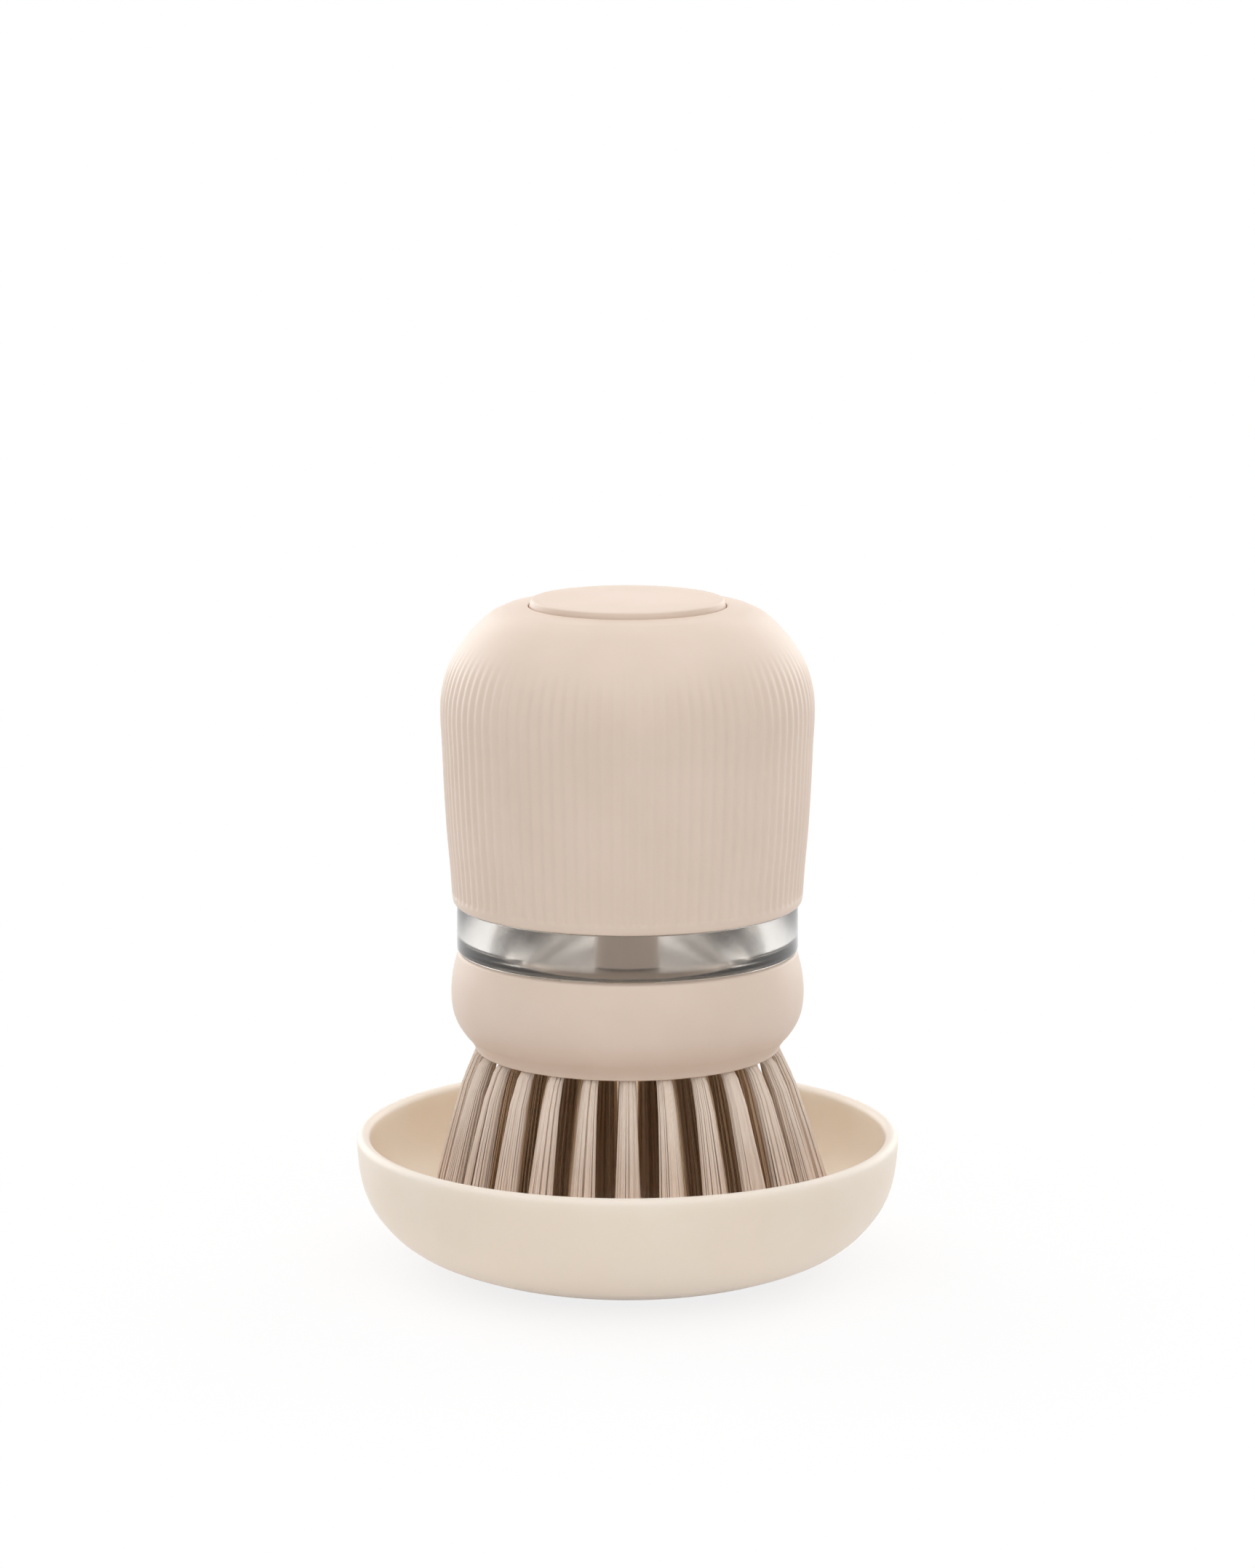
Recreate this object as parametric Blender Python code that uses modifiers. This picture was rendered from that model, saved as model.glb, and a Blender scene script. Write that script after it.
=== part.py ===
"""A soap dispensing dish brush standing in its drip dish, as separate pieces.

Metres, +Z up. The origin is the middle of the dish's foot, and the front faces -Y.
A turned outline is a list of (radius, height) points that runs down its outer side.
"""

import math

import bmesh
import bpy
from mathutils import Matrix, Vector

# Fits shared by all pieces
SEAT_GAP = 0.0003        # between pieces that rest on each other
RUNNING_GAP = 0.0004     # between pieces that turn or slide in each other
CUT_OVERRUN = 0.001      # how far a cutter passes the faces that it opens
MERGE_DISTANCE = 0.00001
EDGE_ROUND = 0.0005      # soft edge on moulded rims

# Facets round a full turn
WIDE_FACETS = 48
BODY_FACETS = 36
SEAL_FACETS = 24
BARREL_FACETS = 24
SMALL_FACETS = 16

# Drip dish
DISH_RADIUS = 0.0479
DISH_HEIGHT = 0.0232
DISH_WALL = 0.0023
DISH_FLOOR = 0.0026
# Outer side from the foot's edge to the lip: shares of the radius and of the height
DISH_SIDE_SHARES = (
    (0.511, 0.0), (0.690, 0.103), (0.791, 0.190), (0.854, 0.276), (0.898, 0.362),
    (0.946, 0.491), (0.975, 0.621), (1.0, 0.880),
)
LIP_STEPS = 3

# Bristles
TIP_HEIGHT = 0.0069       # the trimmed tips above the table
BRISTLE_REACH = 0.0327    # from the tips up to the brush face
TUFT_ROOT_RADIUS = 0.0016
TUFT_TIP_RADIUS = 0.0031
TUFT_MARGIN = 0.0003      # from the outer tufts to the edge of the face
STRAND_ROOT_RADIUS = 0.0005
STRAND_TIP_RADIUS = 0.0007
STRAND_SIDES = 3
ROOT_DEPTH = 0.0006       # how deep a strand is sunk in its backing
# One row for each ring of tufts: place between axis and outer ring, tufts, strands of one
TUFT_RING_SHARES = (1.0, 0.785, 0.57, 0.355)
TUFTS_IN_RING = (25, 19, 13, 7)
STRANDS_IN_TUFT = (6, 4, 4, 4)
BACKING_THICKNESS = 0.0012
BLOCK_THICKNESS = 0.003

# Brush head collar
COLLAR_BULGE = 0.00107    # how far the collar's widest ring stands out from the band
COLLAR_HEIGHT = 0.0176
COLLAR_DROP = 0.0002      # how far the collar's lip hangs below the brush face
COLLAR_LIP_WALL = 0.0011
COLLAR_MOUTH_WALL = 0.0018
# Outer side from the lip up to the top edge: shares of the radius and of the height
COLLAR_SIDE_SHARES = (
    (0.870, 0.0), (0.886, 0.057), (0.934, 0.170), (0.969, 0.284), (0.998, 0.455),
    (1.0, 0.625), (0.989, 0.795), (0.960, 1.0),
)
WELL_FLOOR_WALL = 0.0015
DECK_DROP = 0.006         # top of the deck below the collar's top edge
DECK_WALL = 0.0022
DECK_THICKNESS = 0.0018
OUTLET_CLEARANCE = 0.0005  # round the outlet in the head's bore

# Reservoir
BAND_STEP = 0.0032        # how far the band stands out from the neck
BAND_HEIGHT = 0.0081
RESERVOIR_FLOOR = 0.0018
FLOOR_SLOPE_REACH = 0.0062   # from the bore in to the flat floor
FLOOR_SLOPE_RISE = 0.0044
SKIRT_WALL = 0.0028
NECK_WALL = 0.002
NOZZLE_RADIUS = 0.0036
NOZZLE_BORE_RADIUS = 0.002
NOZZLE_RISE = 0.0034      # end of the nozzle above the brush face

# Seals
LOWER_SEAL_THICKNESS = 0.0014
UPPER_SEAL_THICKNESS = 0.0015
SEAL_SIDE_GAP = 0.0001
SEAL_ROUND = 0.0004

# Outlet valve and the ring that holds it
VALVE_FLANGE_THICKNESS = 0.0015
VALVE_NECK_RADIUS = 0.0024
VALVE_LIP_RADIUS = 0.0009
VALVE_LENGTH = 0.0036
RETAINER_WALL = 0.001
RETAINER_LIP_THICKNESS = 0.0009
RETAINER_GRIP = 0.0036

# Bayonets
LUG_COUNT = 3
LUG_DEPTH = 0.0009
LUG_HEIGHT = 0.002
LUG_HALF_ANGLE = math.radians(5)
LOCK_ANGLE = math.radians(45)
CHANNEL_GAP = 0.0003
CHANNEL_MARGIN_ANGLE = math.radians(1.5)
SECTOR_STEP_ANGLE = math.radians(7.5)
LOWER_LUG_RISE = 0.0031   # middle of the lower lugs above the skirt's foot
UPPER_LUG_DROP = 0.005    # middle of the upper lugs below the neck's rim

# Grip shell
GRIP_RADIUS = 0.03275
GRIP_HEIGHT = 0.0524
GRIP_WALL = 0.0022
# Outer side from the bottom edge to the crown: shares of the radius and of the height
GRIP_SIDE_SHARES = (
    (0.922, 0.0), (0.944, 0.022), (0.949, 0.042), (0.974, 0.242), (1.0, 0.655),
    (0.989, 0.735), (0.947, 0.815), (0.861, 0.897), (0.745, 0.966), (0.641, 0.996),
)
FLUTE_COUNT = 96
FLUTE_DEPTH = 0.0003
FLUTE_FOOT_SHARE = 0.022   # flutes begin here, as a share of the grip's height
FLUTE_FULL_SHARE = 0.042
FLUTE_FADE_SHARE = 0.735
FLUTE_END_SHARE = 0.897
CROWN_COLUMN_SKIP = 3      # the plain crown needs only every third column
SNAP_BEAD_DEPTH = 0.0009
SNAP_BEAD_HEIGHT = 0.0012

# Grip liner
PLATE_THICKNESS = 0.002
SLEEVE_WALL = 0.0022
SLEEVE_LENGTH = 0.0154
GUIDE_WALL = 0.0014
GUIDE_RESERVE = 0.0032     # from the pressed button's flange down to the plate
VENT_HOLE_RADIUS = 0.0006

# Pump barrel, its nut and its rod seal
BARREL_RADIUS = 0.0057
BARREL_WALL = 0.0013
BARREL_FLANGE_REACH = 0.0023
BARREL_FLANGE_THICKNESS = 0.0012
BARREL_LIP_RADIUS = 0.003
BARREL_LIP_THICKNESS = 0.0015
INTAKE_HEIGHT = 0.0025
INTAKE_WIDTH = 0.003
INTAKE_RISE = 0.004        # sill of the intake windows above the barrel's foot
INTAKE_ANGLES = (math.radians(40), math.radians(140))
NUT_WALL = 0.0028          # from the nut's bore to its corners
NUT_THICKNESS = 0.0022
NUT_SIDES = 6
ROD_SEAL_HEIGHT = 0.003

# Vent valve
VENT_MARGIN = 0.0016       # from the nut's corners to the umbrella
VENT_STEM_RADIUS = 0.001
VENT_UMBRELLA_RADIUS = 0.0032
VENT_UMBRELLA_THICKNESS = 0.0008
VENT_BEAD_RADIUS = 0.0017
VENT_BEAD_THICKNESS = 0.0012

# Button, gasket and rod
BUTTON_MARGIN = 0.004      # from the button out to the edge of the grip's flat crown
BUTTON_CLEARANCE = 0.0004
BUTTON_RISE = 0.0009       # edge of the button above the grip's crown
BUTTON_CROWN = 0.0003
BUTTON_EDGE_ROUND = 0.0006
BUTTON_TOP_WALL = 0.0018
BUTTON_SIDE_WALL = 0.0018
BUTTON_TRAVEL = 0.005
BUTTON_FLANGE_REACH = 0.0019
BUTTON_FLANGE_THICKNESS = 0.0012
GASKET_THICKNESS = 0.0008
OPENING_BEVEL = 0.0005
ROD_RADIUS = 0.0016
ROD_SOCKET_WALL = 0.0015
ROD_FOOT_CLEARANCE = 0.0006
ROD_FOOT_THICKNESS = 0.0009
PISTON_HEIGHT = 0.0045
PISTON_LIP_WALL = 0.0008
PISTON_WEB_THICKNESS = 0.0016
PISTON_RISE = 0.0081       # underside of the piston above the barrel's foot

# Return spring
SPRING_WIRE = 0.0008
SPRING_RADIUS = 0.0056
SPRING_TURNS = 4
SPRING_POINTS_PER_TURN = 10
SPRING_BEVEL_RESOLUTION = 1


def inset_line(line, distance):
    """A line of (radius, height) points, run from the foot up, moved in by a distance."""
    result = []
    for index, point in enumerate(line):
        sides = []
        if index > 0:
            sides.append(Vector(point) - Vector(line[index - 1]))
        if index < len(line) - 1:
            sides.append(Vector(line[index + 1]) - Vector(point))
        normals = [Vector((-side.y, side.x)).normalized() for side in sides]
        middle = sum(normals, Vector((0, 0))).normalized()
        moved = Vector(point) + middle * distance / middle.dot(normals[0])
        result.append((moved.x, moved.y))
    return result


def radius_at(line, height):
    """The radius of a rising line at a height."""
    for low, high in zip(line, line[1:]):
        if low[1] <= height <= high[1]:
            part = (height - low[1]) / (high[1] - low[1])
            return low[0] + part * (high[0] - low[0])
    return line[-1][0]


# Heights of the stack, from the table up
FACE_Z = TIP_HEIGHT + BRISTLE_REACH
COLLAR_Z = FACE_Z - COLLAR_DROP
COLLAR_TOP_Z = COLLAR_Z + COLLAR_HEIGHT
BAND_Z = COLLAR_TOP_Z + SEAT_GAP
BAND_TOP_Z = BAND_Z + BAND_HEIGHT
GRIP_Z = BAND_TOP_Z + SEAT_GAP
GRIP_TOP_Z = GRIP_Z + GRIP_HEIGHT
CROWN_UNDERSIDE_Z = GRIP_TOP_Z - GRIP_WALL
GASKET_TOP_Z = CROWN_UNDERSIDE_Z - SEAT_GAP
BUTTON_FLANGE_Z = GASKET_TOP_Z - GASKET_THICKNESS - SEAT_GAP
BUTTON_EDGE_Z = GRIP_TOP_Z + BUTTON_RISE
BUTTON_UNDERSIDE_Z = BUTTON_EDGE_Z - BUTTON_TOP_WALL
PLATE_TOP_Z = BUTTON_FLANGE_Z - BUTTON_FLANGE_THICKNESS - BUTTON_TRAVEL - GUIDE_RESERVE
PLATE_Z = PLATE_TOP_Z - PLATE_THICKNESS
SLEEVE_Z = PLATE_Z - SLEEVE_LENGTH
NECK_TOP_Z = PLATE_Z - UPPER_SEAL_THICKNESS - 2 * SEAT_GAP
RECESS_TOP_Z = FACE_Z + BACKING_THICKNESS + BLOCK_THICKNESS + 2 * SEAT_GAP
WELL_FLOOR_Z = RECESS_TOP_Z + WELL_FLOOR_WALL
DECK_Z = COLLAR_TOP_Z - DECK_DROP
SKIRT_Z = WELL_FLOOR_Z + LOWER_SEAL_THICKNESS + 2 * SEAT_GAP
FLOOR_Z = DECK_Z + SEAT_GAP
FLOOR_TOP_Z = FLOOR_Z + RESERVOIR_FLOOR
NOZZLE_Z = FACE_Z + NOZZLE_RISE
BARREL_FOOT_Z = FLOOR_TOP_Z + RUNNING_GAP
FLANGE_TOP_Z = PLATE_TOP_Z + SEAT_GAP + BARREL_FLANGE_THICKNESS
PISTON_Z = BARREL_FOOT_Z + PISTON_RISE

# Sides of the grip, from the bottom edge up to the crown
GRIP_SIDE = [(r * GRIP_RADIUS, GRIP_Z + z * GRIP_HEIGHT) for r, z in GRIP_SIDE_SHARES]
GRIP_INNER_SIDE = inset_line(GRIP_SIDE, GRIP_WALL)
CROWN_RADIUS = GRIP_SIDE[-1][0]

# Radii that follow from the grip: liner, reservoir's neck and band, collar
LINER_SPACE_RADIUS = min(
    radius_at(GRIP_INNER_SIDE, SLEEVE_Z), radius_at(GRIP_INNER_SIDE, PLATE_TOP_Z),
)
SLEEVE_RADIUS = LINER_SPACE_RADIUS - RUNNING_GAP
SLEEVE_BORE_RADIUS = SLEEVE_RADIUS - SLEEVE_WALL
NECK_RADIUS = SLEEVE_BORE_RADIUS - RUNNING_GAP
NECK_BORE_RADIUS = NECK_RADIUS - NECK_WALL
BAND_RADIUS = NECK_RADIUS + BAND_STEP
COLLAR_RADIUS = BAND_RADIUS + COLLAR_BULGE

# Radii that follow from the collar: brush face, well, skirt and deck
FACE_RADIUS = COLLAR_SIDE_SHARES[0][0] * COLLAR_RADIUS - COLLAR_LIP_WALL
COLLAR_MOUTH_RADIUS = COLLAR_SIDE_SHARES[-1][0] * COLLAR_RADIUS - COLLAR_MOUTH_WALL
SKIRT_RADIUS = COLLAR_MOUTH_RADIUS - RUNNING_GAP
SKIRT_BORE_RADIUS = SKIRT_RADIUS - SKIRT_WALL
DECK_RADIUS = SKIRT_BORE_RADIUS - RUNNING_GAP
RETAINER_BORE_RADIUS = NOZZLE_RADIUS + SEAT_GAP
RETAINER_RADIUS = RETAINER_BORE_RADIUS + RETAINER_WALL
HEAD_BORE_RADIUS = RETAINER_RADIUS + OUTLET_CLEARANCE

# Radii of the button and the pump
BUTTON_RADIUS = CROWN_RADIUS - BUTTON_MARGIN
OPENING_RADIUS = BUTTON_RADIUS + BUTTON_CLEARANCE
BUTTON_FLANGE_RADIUS = BUTTON_RADIUS + BUTTON_FLANGE_REACH
GUIDE_BORE_RADIUS = BUTTON_FLANGE_RADIUS + RUNNING_GAP
GUIDE_RADIUS = GUIDE_BORE_RADIUS + GUIDE_WALL
BARREL_BORE_RADIUS = BARREL_RADIUS - BARREL_WALL
BARREL_HOLE_RADIUS = BARREL_RADIUS + SEAT_GAP
NUT_RADIUS = BARREL_HOLE_RADIUS + NUT_WALL
VENT_OFFSET = NUT_RADIUS + VENT_MARGIN + VENT_UMBRELLA_RADIUS
ROD_PASSAGE_RADIUS = ROD_RADIUS + SEAT_GAP
PISTON_RADIUS = BARREL_BORE_RADIUS - SEAT_GAP
PISTON_LIP_BORE_RADIUS = PISTON_RADIUS - PISTON_LIP_WALL
ROD_FOOT_RADIUS = PISTON_LIP_BORE_RADIUS - ROD_FOOT_CLEARANCE


def linear_colour(hex_colour):
    """The linear colour of an sRGB hex value."""
    values = [int(hex_colour[i:i + 2], 16) / 255 for i in (1, 3, 5)]
    curve = [v / 12.92 if v <= 0.04045 else ((v + 0.055) / 1.055) ** 2.4 for v in values]
    return (*curve, 1.0)


def make_material(name, hex_colour, roughness, metallic=0.0, transmission=0.0):
    material = bpy.data.materials.new(name)
    material.use_nodes = True
    shader = material.node_tree.nodes["Principled BSDF"]
    shader.inputs["Base Color"].default_value = linear_colour(hex_colour)
    shader.inputs["Roughness"].default_value = roughness
    shader.inputs["Metallic"].default_value = metallic
    shader.inputs["Transmission Weight"].default_value = transmission
    material.diffuse_color = linear_colour(hex_colour)
    return material


def add_body(name, height, parent):
    """An empty on the brush's axis that carries the pieces of one moving body."""
    body = bpy.data.objects.new(name, None)
    body.empty_display_size = DISH_WALL
    brush.objects.link(body)
    body.parent = parent
    body.location.z = height - (parent.matrix_world.translation.z if parent else 0)
    bpy.context.view_layer.update()
    return body


def place(piece, body, material):
    """Put a piece on its body with the material that it is moulded in."""
    brush.objects.link(piece)
    piece.parent = body
    piece.data.materials.clear()
    piece.data.materials.append(material)
    return piece


def place_cutter(piece, body):
    piece.hide_render = True
    piece.display_type = "WIRE"
    cutters.objects.link(piece)
    piece.parent = body
    return piece


def turned(name, outline, body, facets):
    """An outline of (radius, world height) turned about the body's axis."""
    base = body.matrix_world.translation.z
    points = [(radius, 0, height - base) for radius, height in outline]
    edges = [(i, i + 1) for i in range(len(points) - 1)]
    if outline[0][0] > 0:
        edges.append((len(points) - 1, 0))
    mesh = bpy.data.meshes.new(name)
    mesh.from_pydata(points, edges, [])
    piece = bpy.data.objects.new(name, mesh)
    screw = piece.modifiers.new("Turn", "SCREW")
    screw.steps = facets
    screw.render_steps = facets
    screw.use_merge_vertices = True
    screw.merge_threshold = MERGE_DISTANCE
    screw.use_smooth_shade = False
    return piece


def ring_outline(inner, outer, low, high):
    """The outline of a plain ring or tube."""
    return [(outer, high), (outer, low), (inner, low), (inner, high)]


def rounded(outline, corners, radius, steps=2):
    """The outline with the corners of these numbers rounded to a radius."""
    result = []
    for index, point in enumerate(outline):
        if index not in corners:
            result.append(point)
            continue
        here = Vector(point)
        before = (Vector(outline[index - 1]) - here).normalized()
        after = (Vector(outline[(index + 1) % len(outline)]) - here).normalized()
        half = before.angle(after) / 2
        reach = radius / math.tan(half)
        centre = here + (before + after).normalized() * radius / math.sin(half)
        first = here + before * reach - centre
        last = here + after * reach - centre
        turn = first.angle_signed(last)
        for step in range(steps + 1):
            spoke = first.copy()
            spoke.rotate(Matrix.Rotation(-turn * step / steps, 2))
            result.append(tuple(centre + spoke))
    return result


def sectors(name, body, inner, outer, low, high, start, end):
    """Equal ring sectors, one for each bayonet lug, each a closed solid."""
    base = body.matrix_world.translation.z
    mesh = bpy.data.meshes.new(name)
    shape = bmesh.new()
    steps = max(1, round((end - start) / SECTOR_STEP_ANGLE))
    for number in range(LUG_COUNT):
        turn = Matrix.Rotation(start + math.tau * number / LUG_COUNT, 3, "Z")
        corners = ((inner, low), (outer, low), (outer, high), (inner, high))
        rim = [shape.verts.new(turn @ Vector((r, 0, z - base))) for r, z in corners]
        face = shape.faces.new(rim)
        bmesh.ops.spin(
            shape, geom=[face], axis=(0, 0, 1), cent=(0, 0, 0), angle=end - start, steps=steps,
        )
    bmesh.ops.recalc_face_normals(shape, faces=shape.faces)
    shape.to_mesh(mesh)
    shape.free()
    return bpy.data.objects.new(name, mesh)


def combine(piece, other, operation):
    """Cut a piece with another, or join another to it, and keep the other as a guide."""
    modifier = piece.modifiers.new(other.name, "BOOLEAN")
    modifier.object = other
    modifier.operation = operation
    modifier.solver = "EXACT"


def frozen(piece):
    """The piece's evaluated mesh as a plain mesh, with its modifiers used up."""
    scene_objects = bpy.context.scene.collection.objects
    scene_objects.link(piece)
    bpy.context.view_layer.update()
    graph = bpy.context.evaluated_depsgraph_get()
    mesh = bpy.data.meshes.new_from_object(piece.evaluated_get(graph))
    scene_objects.unlink(piece)
    piece.modifiers.clear()
    piece.data = mesh
    return piece


def cut_channels(piece, body, wall_radius, lug_z, mouth_z, turn):
    """Cut an L-shaped bayonet channel for each lug: an entry slot and a locking leg."""
    inner = wall_radius - CUT_OVERRUN
    outer = wall_radius + LUG_DEPTH
    low = lug_z - LUG_HEIGHT / 2 - CHANNEL_GAP
    high = lug_z + LUG_HEIGHT / 2 + CHANNEL_GAP
    half = LUG_HALF_ANGLE + CHANNEL_MARGIN_ANGLE
    mouth = mouth_z + math.copysign(CUT_OVERRUN, mouth_z - lug_z)
    entry = sectors(
        piece.name + "_entry_cut", body, inner, outer, min(low, mouth), max(high, mouth), -half, half,
    )
    leg = sectors(
        piece.name + "_leg_cut", body, inner, outer, low, high,
        min(turn, 0) - half, max(turn, 0) + half,
    )
    combine(piece, place_cutter(entry, body), "DIFFERENCE")
    combine(piece, place_cutter(leg, body), "DIFFERENCE")


def add_lugs(piece, name, body, wall_radius, lug_z):
    """Bayonet lugs on a round wall."""
    lugs = sectors(
        name, body, wall_radius - NECK_WALL / 2,
        wall_radius + RUNNING_GAP + LUG_DEPTH - CHANNEL_GAP,
        lug_z - LUG_HEIGHT / 2, lug_z + LUG_HEIGHT / 2, -LUG_HALF_ANGLE, LUG_HALF_ANGLE,
    )
    combine(piece, place_cutter(lugs, body), "UNION")


def dish_lines():
    """The dish's outer and inner sides, from the foot up to the lip."""
    outer = [(r * DISH_RADIUS, z * DISH_HEIGHT) for r, z in DISH_SIDE_SHARES]
    inner = [point for point in inset_line(outer, DISH_WALL) if point[1] > DISH_FLOOR]
    return outer, inner


def make_dish(body):
    outer, inner = dish_lines()
    lip_radius = DISH_WALL / 2
    lip_centre = Vector((DISH_RADIUS - lip_radius, DISH_HEIGHT - lip_radius))
    lip = []
    for step in range(LIP_STEPS + 1):
        angle = math.pi * (1 - step / LIP_STEPS)
        point = lip_centre + lip_radius * Vector((math.cos(angle), math.sin(angle)))
        lip.append(tuple(point))
    floor = [(0, DISH_FLOOR), (outer[0][0] - DISH_WALL, DISH_FLOOR)]
    outline = floor + inner + lip + list(reversed(outer)) + [(0, 0)]
    place(turned("drip_dish", outline, body, WIDE_FACETS), body, cream_plastic)


def add_strand(shape, root, tip):
    """One straight bristle strand, thicker at its tip."""
    axis = tip - root
    turn = axis.to_track_quat("Z", "Y").to_matrix().to_4x4()
    middle = Matrix.Translation((root + tip) / 2)
    bmesh.ops.create_cone(
        shape, cap_ends=True, segments=STRAND_SIDES, radius1=STRAND_ROOT_RADIUS,
        radius2=STRAND_TIP_RADIUS, depth=axis.length, matrix=middle @ turn,
    )


def tuft_places(count):
    """Where the strands of one tuft stand, as shares of the tuft's radius."""
    places = [Vector((0, 0))]
    for number in range(count - 1):
        angle = math.tau * number / (count - 1)
        places.append(Vector((math.cos(angle), math.sin(angle))))
    return places


def make_bristles(body):
    """The tufts and the slice of backing that they are fused to."""
    base = body.matrix_world.translation.z
    backing = turned(
        "bristles", ring_outline(HEAD_BORE_RADIUS, FACE_RADIUS, FACE_Z, FACE_Z + BACKING_THICKNESS),
        body, BODY_FACETS,
    )
    inner_side = dish_lines()[1]
    tip_edge = radius_at(inner_side, TIP_HEIGHT - STRAND_TIP_RADIUS) - SEAT_GAP
    outer_tip = tip_edge - TUFT_TIP_RADIUS
    outer_root = FACE_RADIUS - TUFT_MARGIN - TUFT_ROOT_RADIUS
    root_spread = TUFT_ROOT_RADIUS - STRAND_ROOT_RADIUS
    tip_spread = TUFT_TIP_RADIUS - STRAND_TIP_RADIUS
    shape = bmesh.new()
    for ring, share in enumerate(TUFT_RING_SHARES):
        for tuft in range(TUFTS_IN_RING[ring]):
            angle = math.tau * tuft / TUFTS_IN_RING[ring] - math.pi / 2
            turn = Matrix.Rotation(angle, 2)
            for spot in tuft_places(STRANDS_IN_TUFT[ring]):
                root = turn @ (Vector((outer_root * share, 0)) + spot * root_spread)
                tip = turn @ (Vector((outer_tip * share, 0)) + spot * tip_spread)
                tip_point = tip.to_3d() + Vector((0, 0, TIP_HEIGHT - base))
                face_point = root.to_3d() + Vector((0, 0, FACE_Z - base))
                sunk = (face_point - tip_point) * (ROOT_DEPTH / BRISTLE_REACH)
                add_strand(shape, face_point + sunk, tip_point)
    mesh = bpy.data.meshes.new("strands")
    shape.to_mesh(mesh)
    shape.free()
    strands = place_cutter(bpy.data.objects.new("strands", mesh), body)
    combine(backing, strands, "UNION")
    place(backing, body, bristle_nylon)


def make_head(body):
    """The head's collar, with the well that takes the reservoir, and the tuft block."""
    recess_radius = FACE_RADIUS + SEAT_GAP
    chamber_radius = DECK_RADIUS - DECK_WALL
    side = [(r * COLLAR_RADIUS, COLLAR_Z + z * COLLAR_HEIGHT) for r, z in COLLAR_SIDE_SHARES]
    outline = list(reversed(side)) + [
        (recess_radius, COLLAR_Z), (recess_radius, RECESS_TOP_Z), (chamber_radius, RECESS_TOP_Z),
        (chamber_radius, DECK_Z - DECK_THICKNESS), (HEAD_BORE_RADIUS, DECK_Z - DECK_THICKNESS),
        (HEAD_BORE_RADIUS, DECK_Z), (DECK_RADIUS, DECK_Z), (DECK_RADIUS, WELL_FLOOR_Z),
        (COLLAR_MOUTH_RADIUS, WELL_FLOOR_Z), (COLLAR_MOUTH_RADIUS, COLLAR_TOP_Z),
    ]
    collar = turned("head_collar", rounded(outline, {0}, EDGE_ROUND), body, BODY_FACETS)
    lug_z = SKIRT_Z + LOWER_LUG_RISE
    cut_channels(collar, body, COLLAR_MOUTH_RADIUS, lug_z, COLLAR_TOP_Z, LOCK_ANGLE)
    place(collar, body, cream_plastic)

    block_low = FACE_Z + BACKING_THICKNESS + SEAT_GAP
    block = ring_outline(HEAD_BORE_RADIUS, FACE_RADIUS, block_low, block_low + BLOCK_THICKNESS)
    place(turned("tuft_block", block, body, BODY_FACETS), body, block_plastic)


def seal_ring(name, inner, outer, low, thickness, body):
    outline = rounded(ring_outline(inner, outer, low, low + thickness), {0, 1}, SEAL_ROUND, 1)
    return place(turned(name, outline, body, SEAL_FACETS), body, silicone)


def make_reservoir(body):
    """The clear cup: skirt, floor with its nozzle, outer band and neck."""
    flat_radius = NECK_BORE_RADIUS - FLOOR_SLOPE_REACH
    outline = [
        (NECK_RADIUS, NECK_TOP_Z), (NECK_RADIUS, BAND_TOP_Z),
        (BAND_RADIUS, BAND_TOP_Z), (BAND_RADIUS, BAND_Z),
        (SKIRT_RADIUS, BAND_Z), (SKIRT_RADIUS, SKIRT_Z),
        (SKIRT_BORE_RADIUS, SKIRT_Z), (SKIRT_BORE_RADIUS, FLOOR_Z),
        (NOZZLE_RADIUS, FLOOR_Z), (NOZZLE_RADIUS, NOZZLE_Z),
        (NOZZLE_BORE_RADIUS, NOZZLE_Z), (NOZZLE_BORE_RADIUS, FLOOR_TOP_Z),
        (flat_radius, FLOOR_TOP_Z), (NECK_BORE_RADIUS, FLOOR_TOP_Z + FLOOR_SLOPE_RISE),
        (NECK_BORE_RADIUS, NECK_TOP_Z),
    ]
    cup = turned("reservoir", outline, body, BODY_FACETS)
    add_lugs(cup, "reservoir_skirt_lugs", body, SKIRT_RADIUS, SKIRT_Z + LOWER_LUG_RISE)
    add_lugs(cup, "reservoir_neck_lugs", body, NECK_RADIUS, NECK_TOP_Z - UPPER_LUG_DROP)
    place(cup, body, clear_plastic)


def make_outlet(body):
    """The duckbill valve under the nozzle, and the ring that holds it there."""
    flange_top = NOZZLE_Z - SEAT_GAP
    flange_low = flange_top - VALVE_FLANGE_THICKNESS
    lip_z = flange_low - VALVE_LENGTH
    bore = NOZZLE_BORE_RADIUS - SEAT_GAP
    valve = [
        (NOZZLE_RADIUS, flange_top), (NOZZLE_RADIUS, flange_low), (VALVE_NECK_RADIUS, flange_low),
        (VALVE_LIP_RADIUS, lip_z), (VALVE_LIP_RADIUS / 2, lip_z), (bore, flange_top),
    ]
    place(turned("outlet_valve", valve, body, SMALL_FACETS), body, silicone)

    ledge_z = flange_low - SEAT_GAP
    low = ledge_z - RETAINER_LIP_THICKNESS
    top = NOZZLE_Z + RETAINER_GRIP
    lip_radius = VALVE_NECK_RADIUS + SEAT_GAP
    retainer = [
        (RETAINER_RADIUS, top), (RETAINER_RADIUS, low), (lip_radius, low), (lip_radius, ledge_z),
        (RETAINER_BORE_RADIUS, ledge_z), (RETAINER_BORE_RADIUS, top),
    ]
    place(turned("valve_retainer", retainer, body, SMALL_FACETS), body, cream_plastic)


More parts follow.
